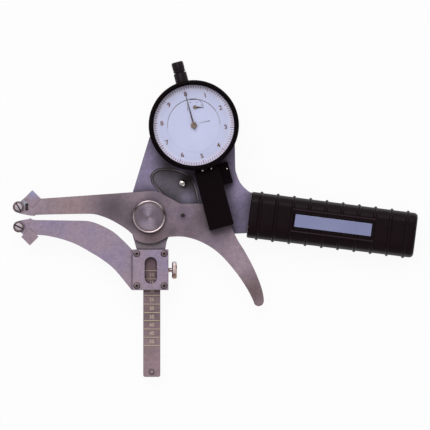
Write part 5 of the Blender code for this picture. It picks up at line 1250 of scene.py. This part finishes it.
def sunkPanel(middle, length, top):  # the panel in the front half, with the name plate's seat
    low, high, half, border = pick(panel, "start end half border")
    block = flatShape([(low, -half), (high, -half), (high, half), (low, half)], top - panel["thick"], top)
    softenEdges(block, panel["soft"])
    floor = addBox(bmesh.new(), (middle, 0, top),
                   (length - 2 * border, (half - border) * 2, panel["sink"] * 2))
    softenEdges(floor, panel["floorSoft"], 1)
    long, wide = namePlate["end"] - namePlate["start"], namePlate["half"] * 2
    seat = addBox(bmesh.new(), (middle, 0, top), (long + panel["play"], wide + panel["play"],
                                                  (namePlate["thick"] + panel["play"] / 2) * 2))
    return cutWith(cutWith(block, floor), seat)


def panelRails(middle, length, top):  # the panel's two long borders, in a lighter finish: a painted highlight
    rails, wide = bmesh.new(), panel["border"] * panel["railShare"]
    for y in (-panel["half"] + wide, panel["half"] - wide):
        addBox(rails, (middle, y, top - 0.1 * mm), (length - 2 * wide, wide, panel["railHigh"]))
    softenEdges(rails, panel["railSoft"], 1)
    paintFaces(rails, 1, lambda c: True)
    return rails


def buildGrip():
    spans = (panel["start"] + panel["end"]) / 2, panel["end"] - panel["start"], grip["thick"]
    front = joinShapes(gripHalf(1), sunkPanel(*spans))
    rear = gripHalf(-1)
    for tool in gripTools(False):
        front = cutWith(front, tool)
    for tool in gripTools(True):
        rear = cutWith(rear, tool)
    joinShapes(front, panelRails(*spans))
    standIn("grip_front_half", "gripFront", moved(front, onGrip), ["gripRubber", "gripCrest"], 40, True)
    standIn("grip_rear_half", "gripRear", moved(rear, onGrip), "gripRubber", 40, True)


def buildNamePlate():  # left bare
    corner, half = namePlate["corner"], namePlate["half"] - namePlate["corner"]
    low, high = namePlate["start"] + corner, namePlate["end"] - corner
    outline = []
    for spot, first in (((high, half), 0), ((low, half), 90), ((low, -half), 180), ((high, -half), 270)):
        outline += arcPoints(corner, first, first + 90, 4, spot)
    bm = flatShape(outline, grip["thick"] - namePlate["thick"], grip["thick"])
    softenEdges(bm, namePlate["soft"], 2, 60)
    standIn("name_plate", "bareNamePlate", moved(bm, onGrip), "anodisedPlate", even=True)


buildGrip()
buildNamePlate()
print("grip ready")


# Small fasteners and everything held inside

screwKinds = {  # node names, last letters, head radius, shank radius, head height
    "ear": ("holder_ear_screw", [""], 1.4 * mm, 0.7 * mm, 1.2 * mm),
    "holder": ("holder_screw_", "ab", 1.9 * mm, 1.2 * mm, 1.5 * mm),
    "bar": ("bar_screw_", "ab", 1.3 * mm, 0.7 * mm, 0.5 * mm),
    "grip": ("grip_screw_", "abc", 2.6 * mm, 1.5 * mm, 1.8 * mm),
    "case": ("case_back_screw_", "abcd", 1.3 * mm, 0.7 * mm, 0.5 * mm)}


def buildSmallScrew(node, headR, shankR, head, headUp):
    centre, (low, high) = centreOf(node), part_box(node)
    length, soft = high.z - low.z, min(headR * 0.18, head * 0.45)
    profile = [(0, 0), (headR - soft, 0), (headR - soft * 0.3, soft * 0.3), (headR, soft), (headR, head),
               (shankR, head), (shankR, length - shankR * 0.3), (shankR * 0.7, length), (0, length)]
    slot = addBox(bmesh.new(), (0, 0, 0), (headR * 3, headR * 0.34, head))
    bm = cutWith(turnedShape(profile, 40), slot)
    place = at(centre.x, centre.y, low.z)
    if headUp:
        place = at(centre.x, centre.y, high.z) @ Matrix.Rotation(math.pi, 4, "X")
    first, *words = node.split("_")
    name = first + "".join(word.title() for word in words)
    standIn(node, name, moved(bm, place), "gaugePaint" if headUp else "blackOxide")


def buildSmallScrews():
    for kind, (start, letters, *sizes) in screwKinds.items():
        for letter in letters:
            buildSmallScrew(start + letter, *sizes, headUp=kind == "ear")


insideFinish = {
    "satin_steel": "springSteel", "lever_steel": "leverSteel", "jaw_steel": "jawSteel",
    "bar_steel": "barSteel", "tip_steel": "tipSteel", "spring_steel": "springSteel",
    "polished_steel": "polishedSteel", "black_steel": "blackOxide", "gauge_black": "gaugePaint",
    "grip_black": "gripRubber", "brass": "turnedBrass", "dial_white": "dialPaper",
    "hand_black": "handPaint", "crystal_clear": "clearCrystal", "name_plate_blue": "anodisedPlate",
}


def finishInside():
    for node, shape in nodes.items():
        if node not in dressed:
            shape.data.materials.clear()
            shape.data.materials.append(finishes[insideFinish[slotOf[node]]])


buildSmallScrews()
finishInside()
print("fasteners and inner pieces ready")
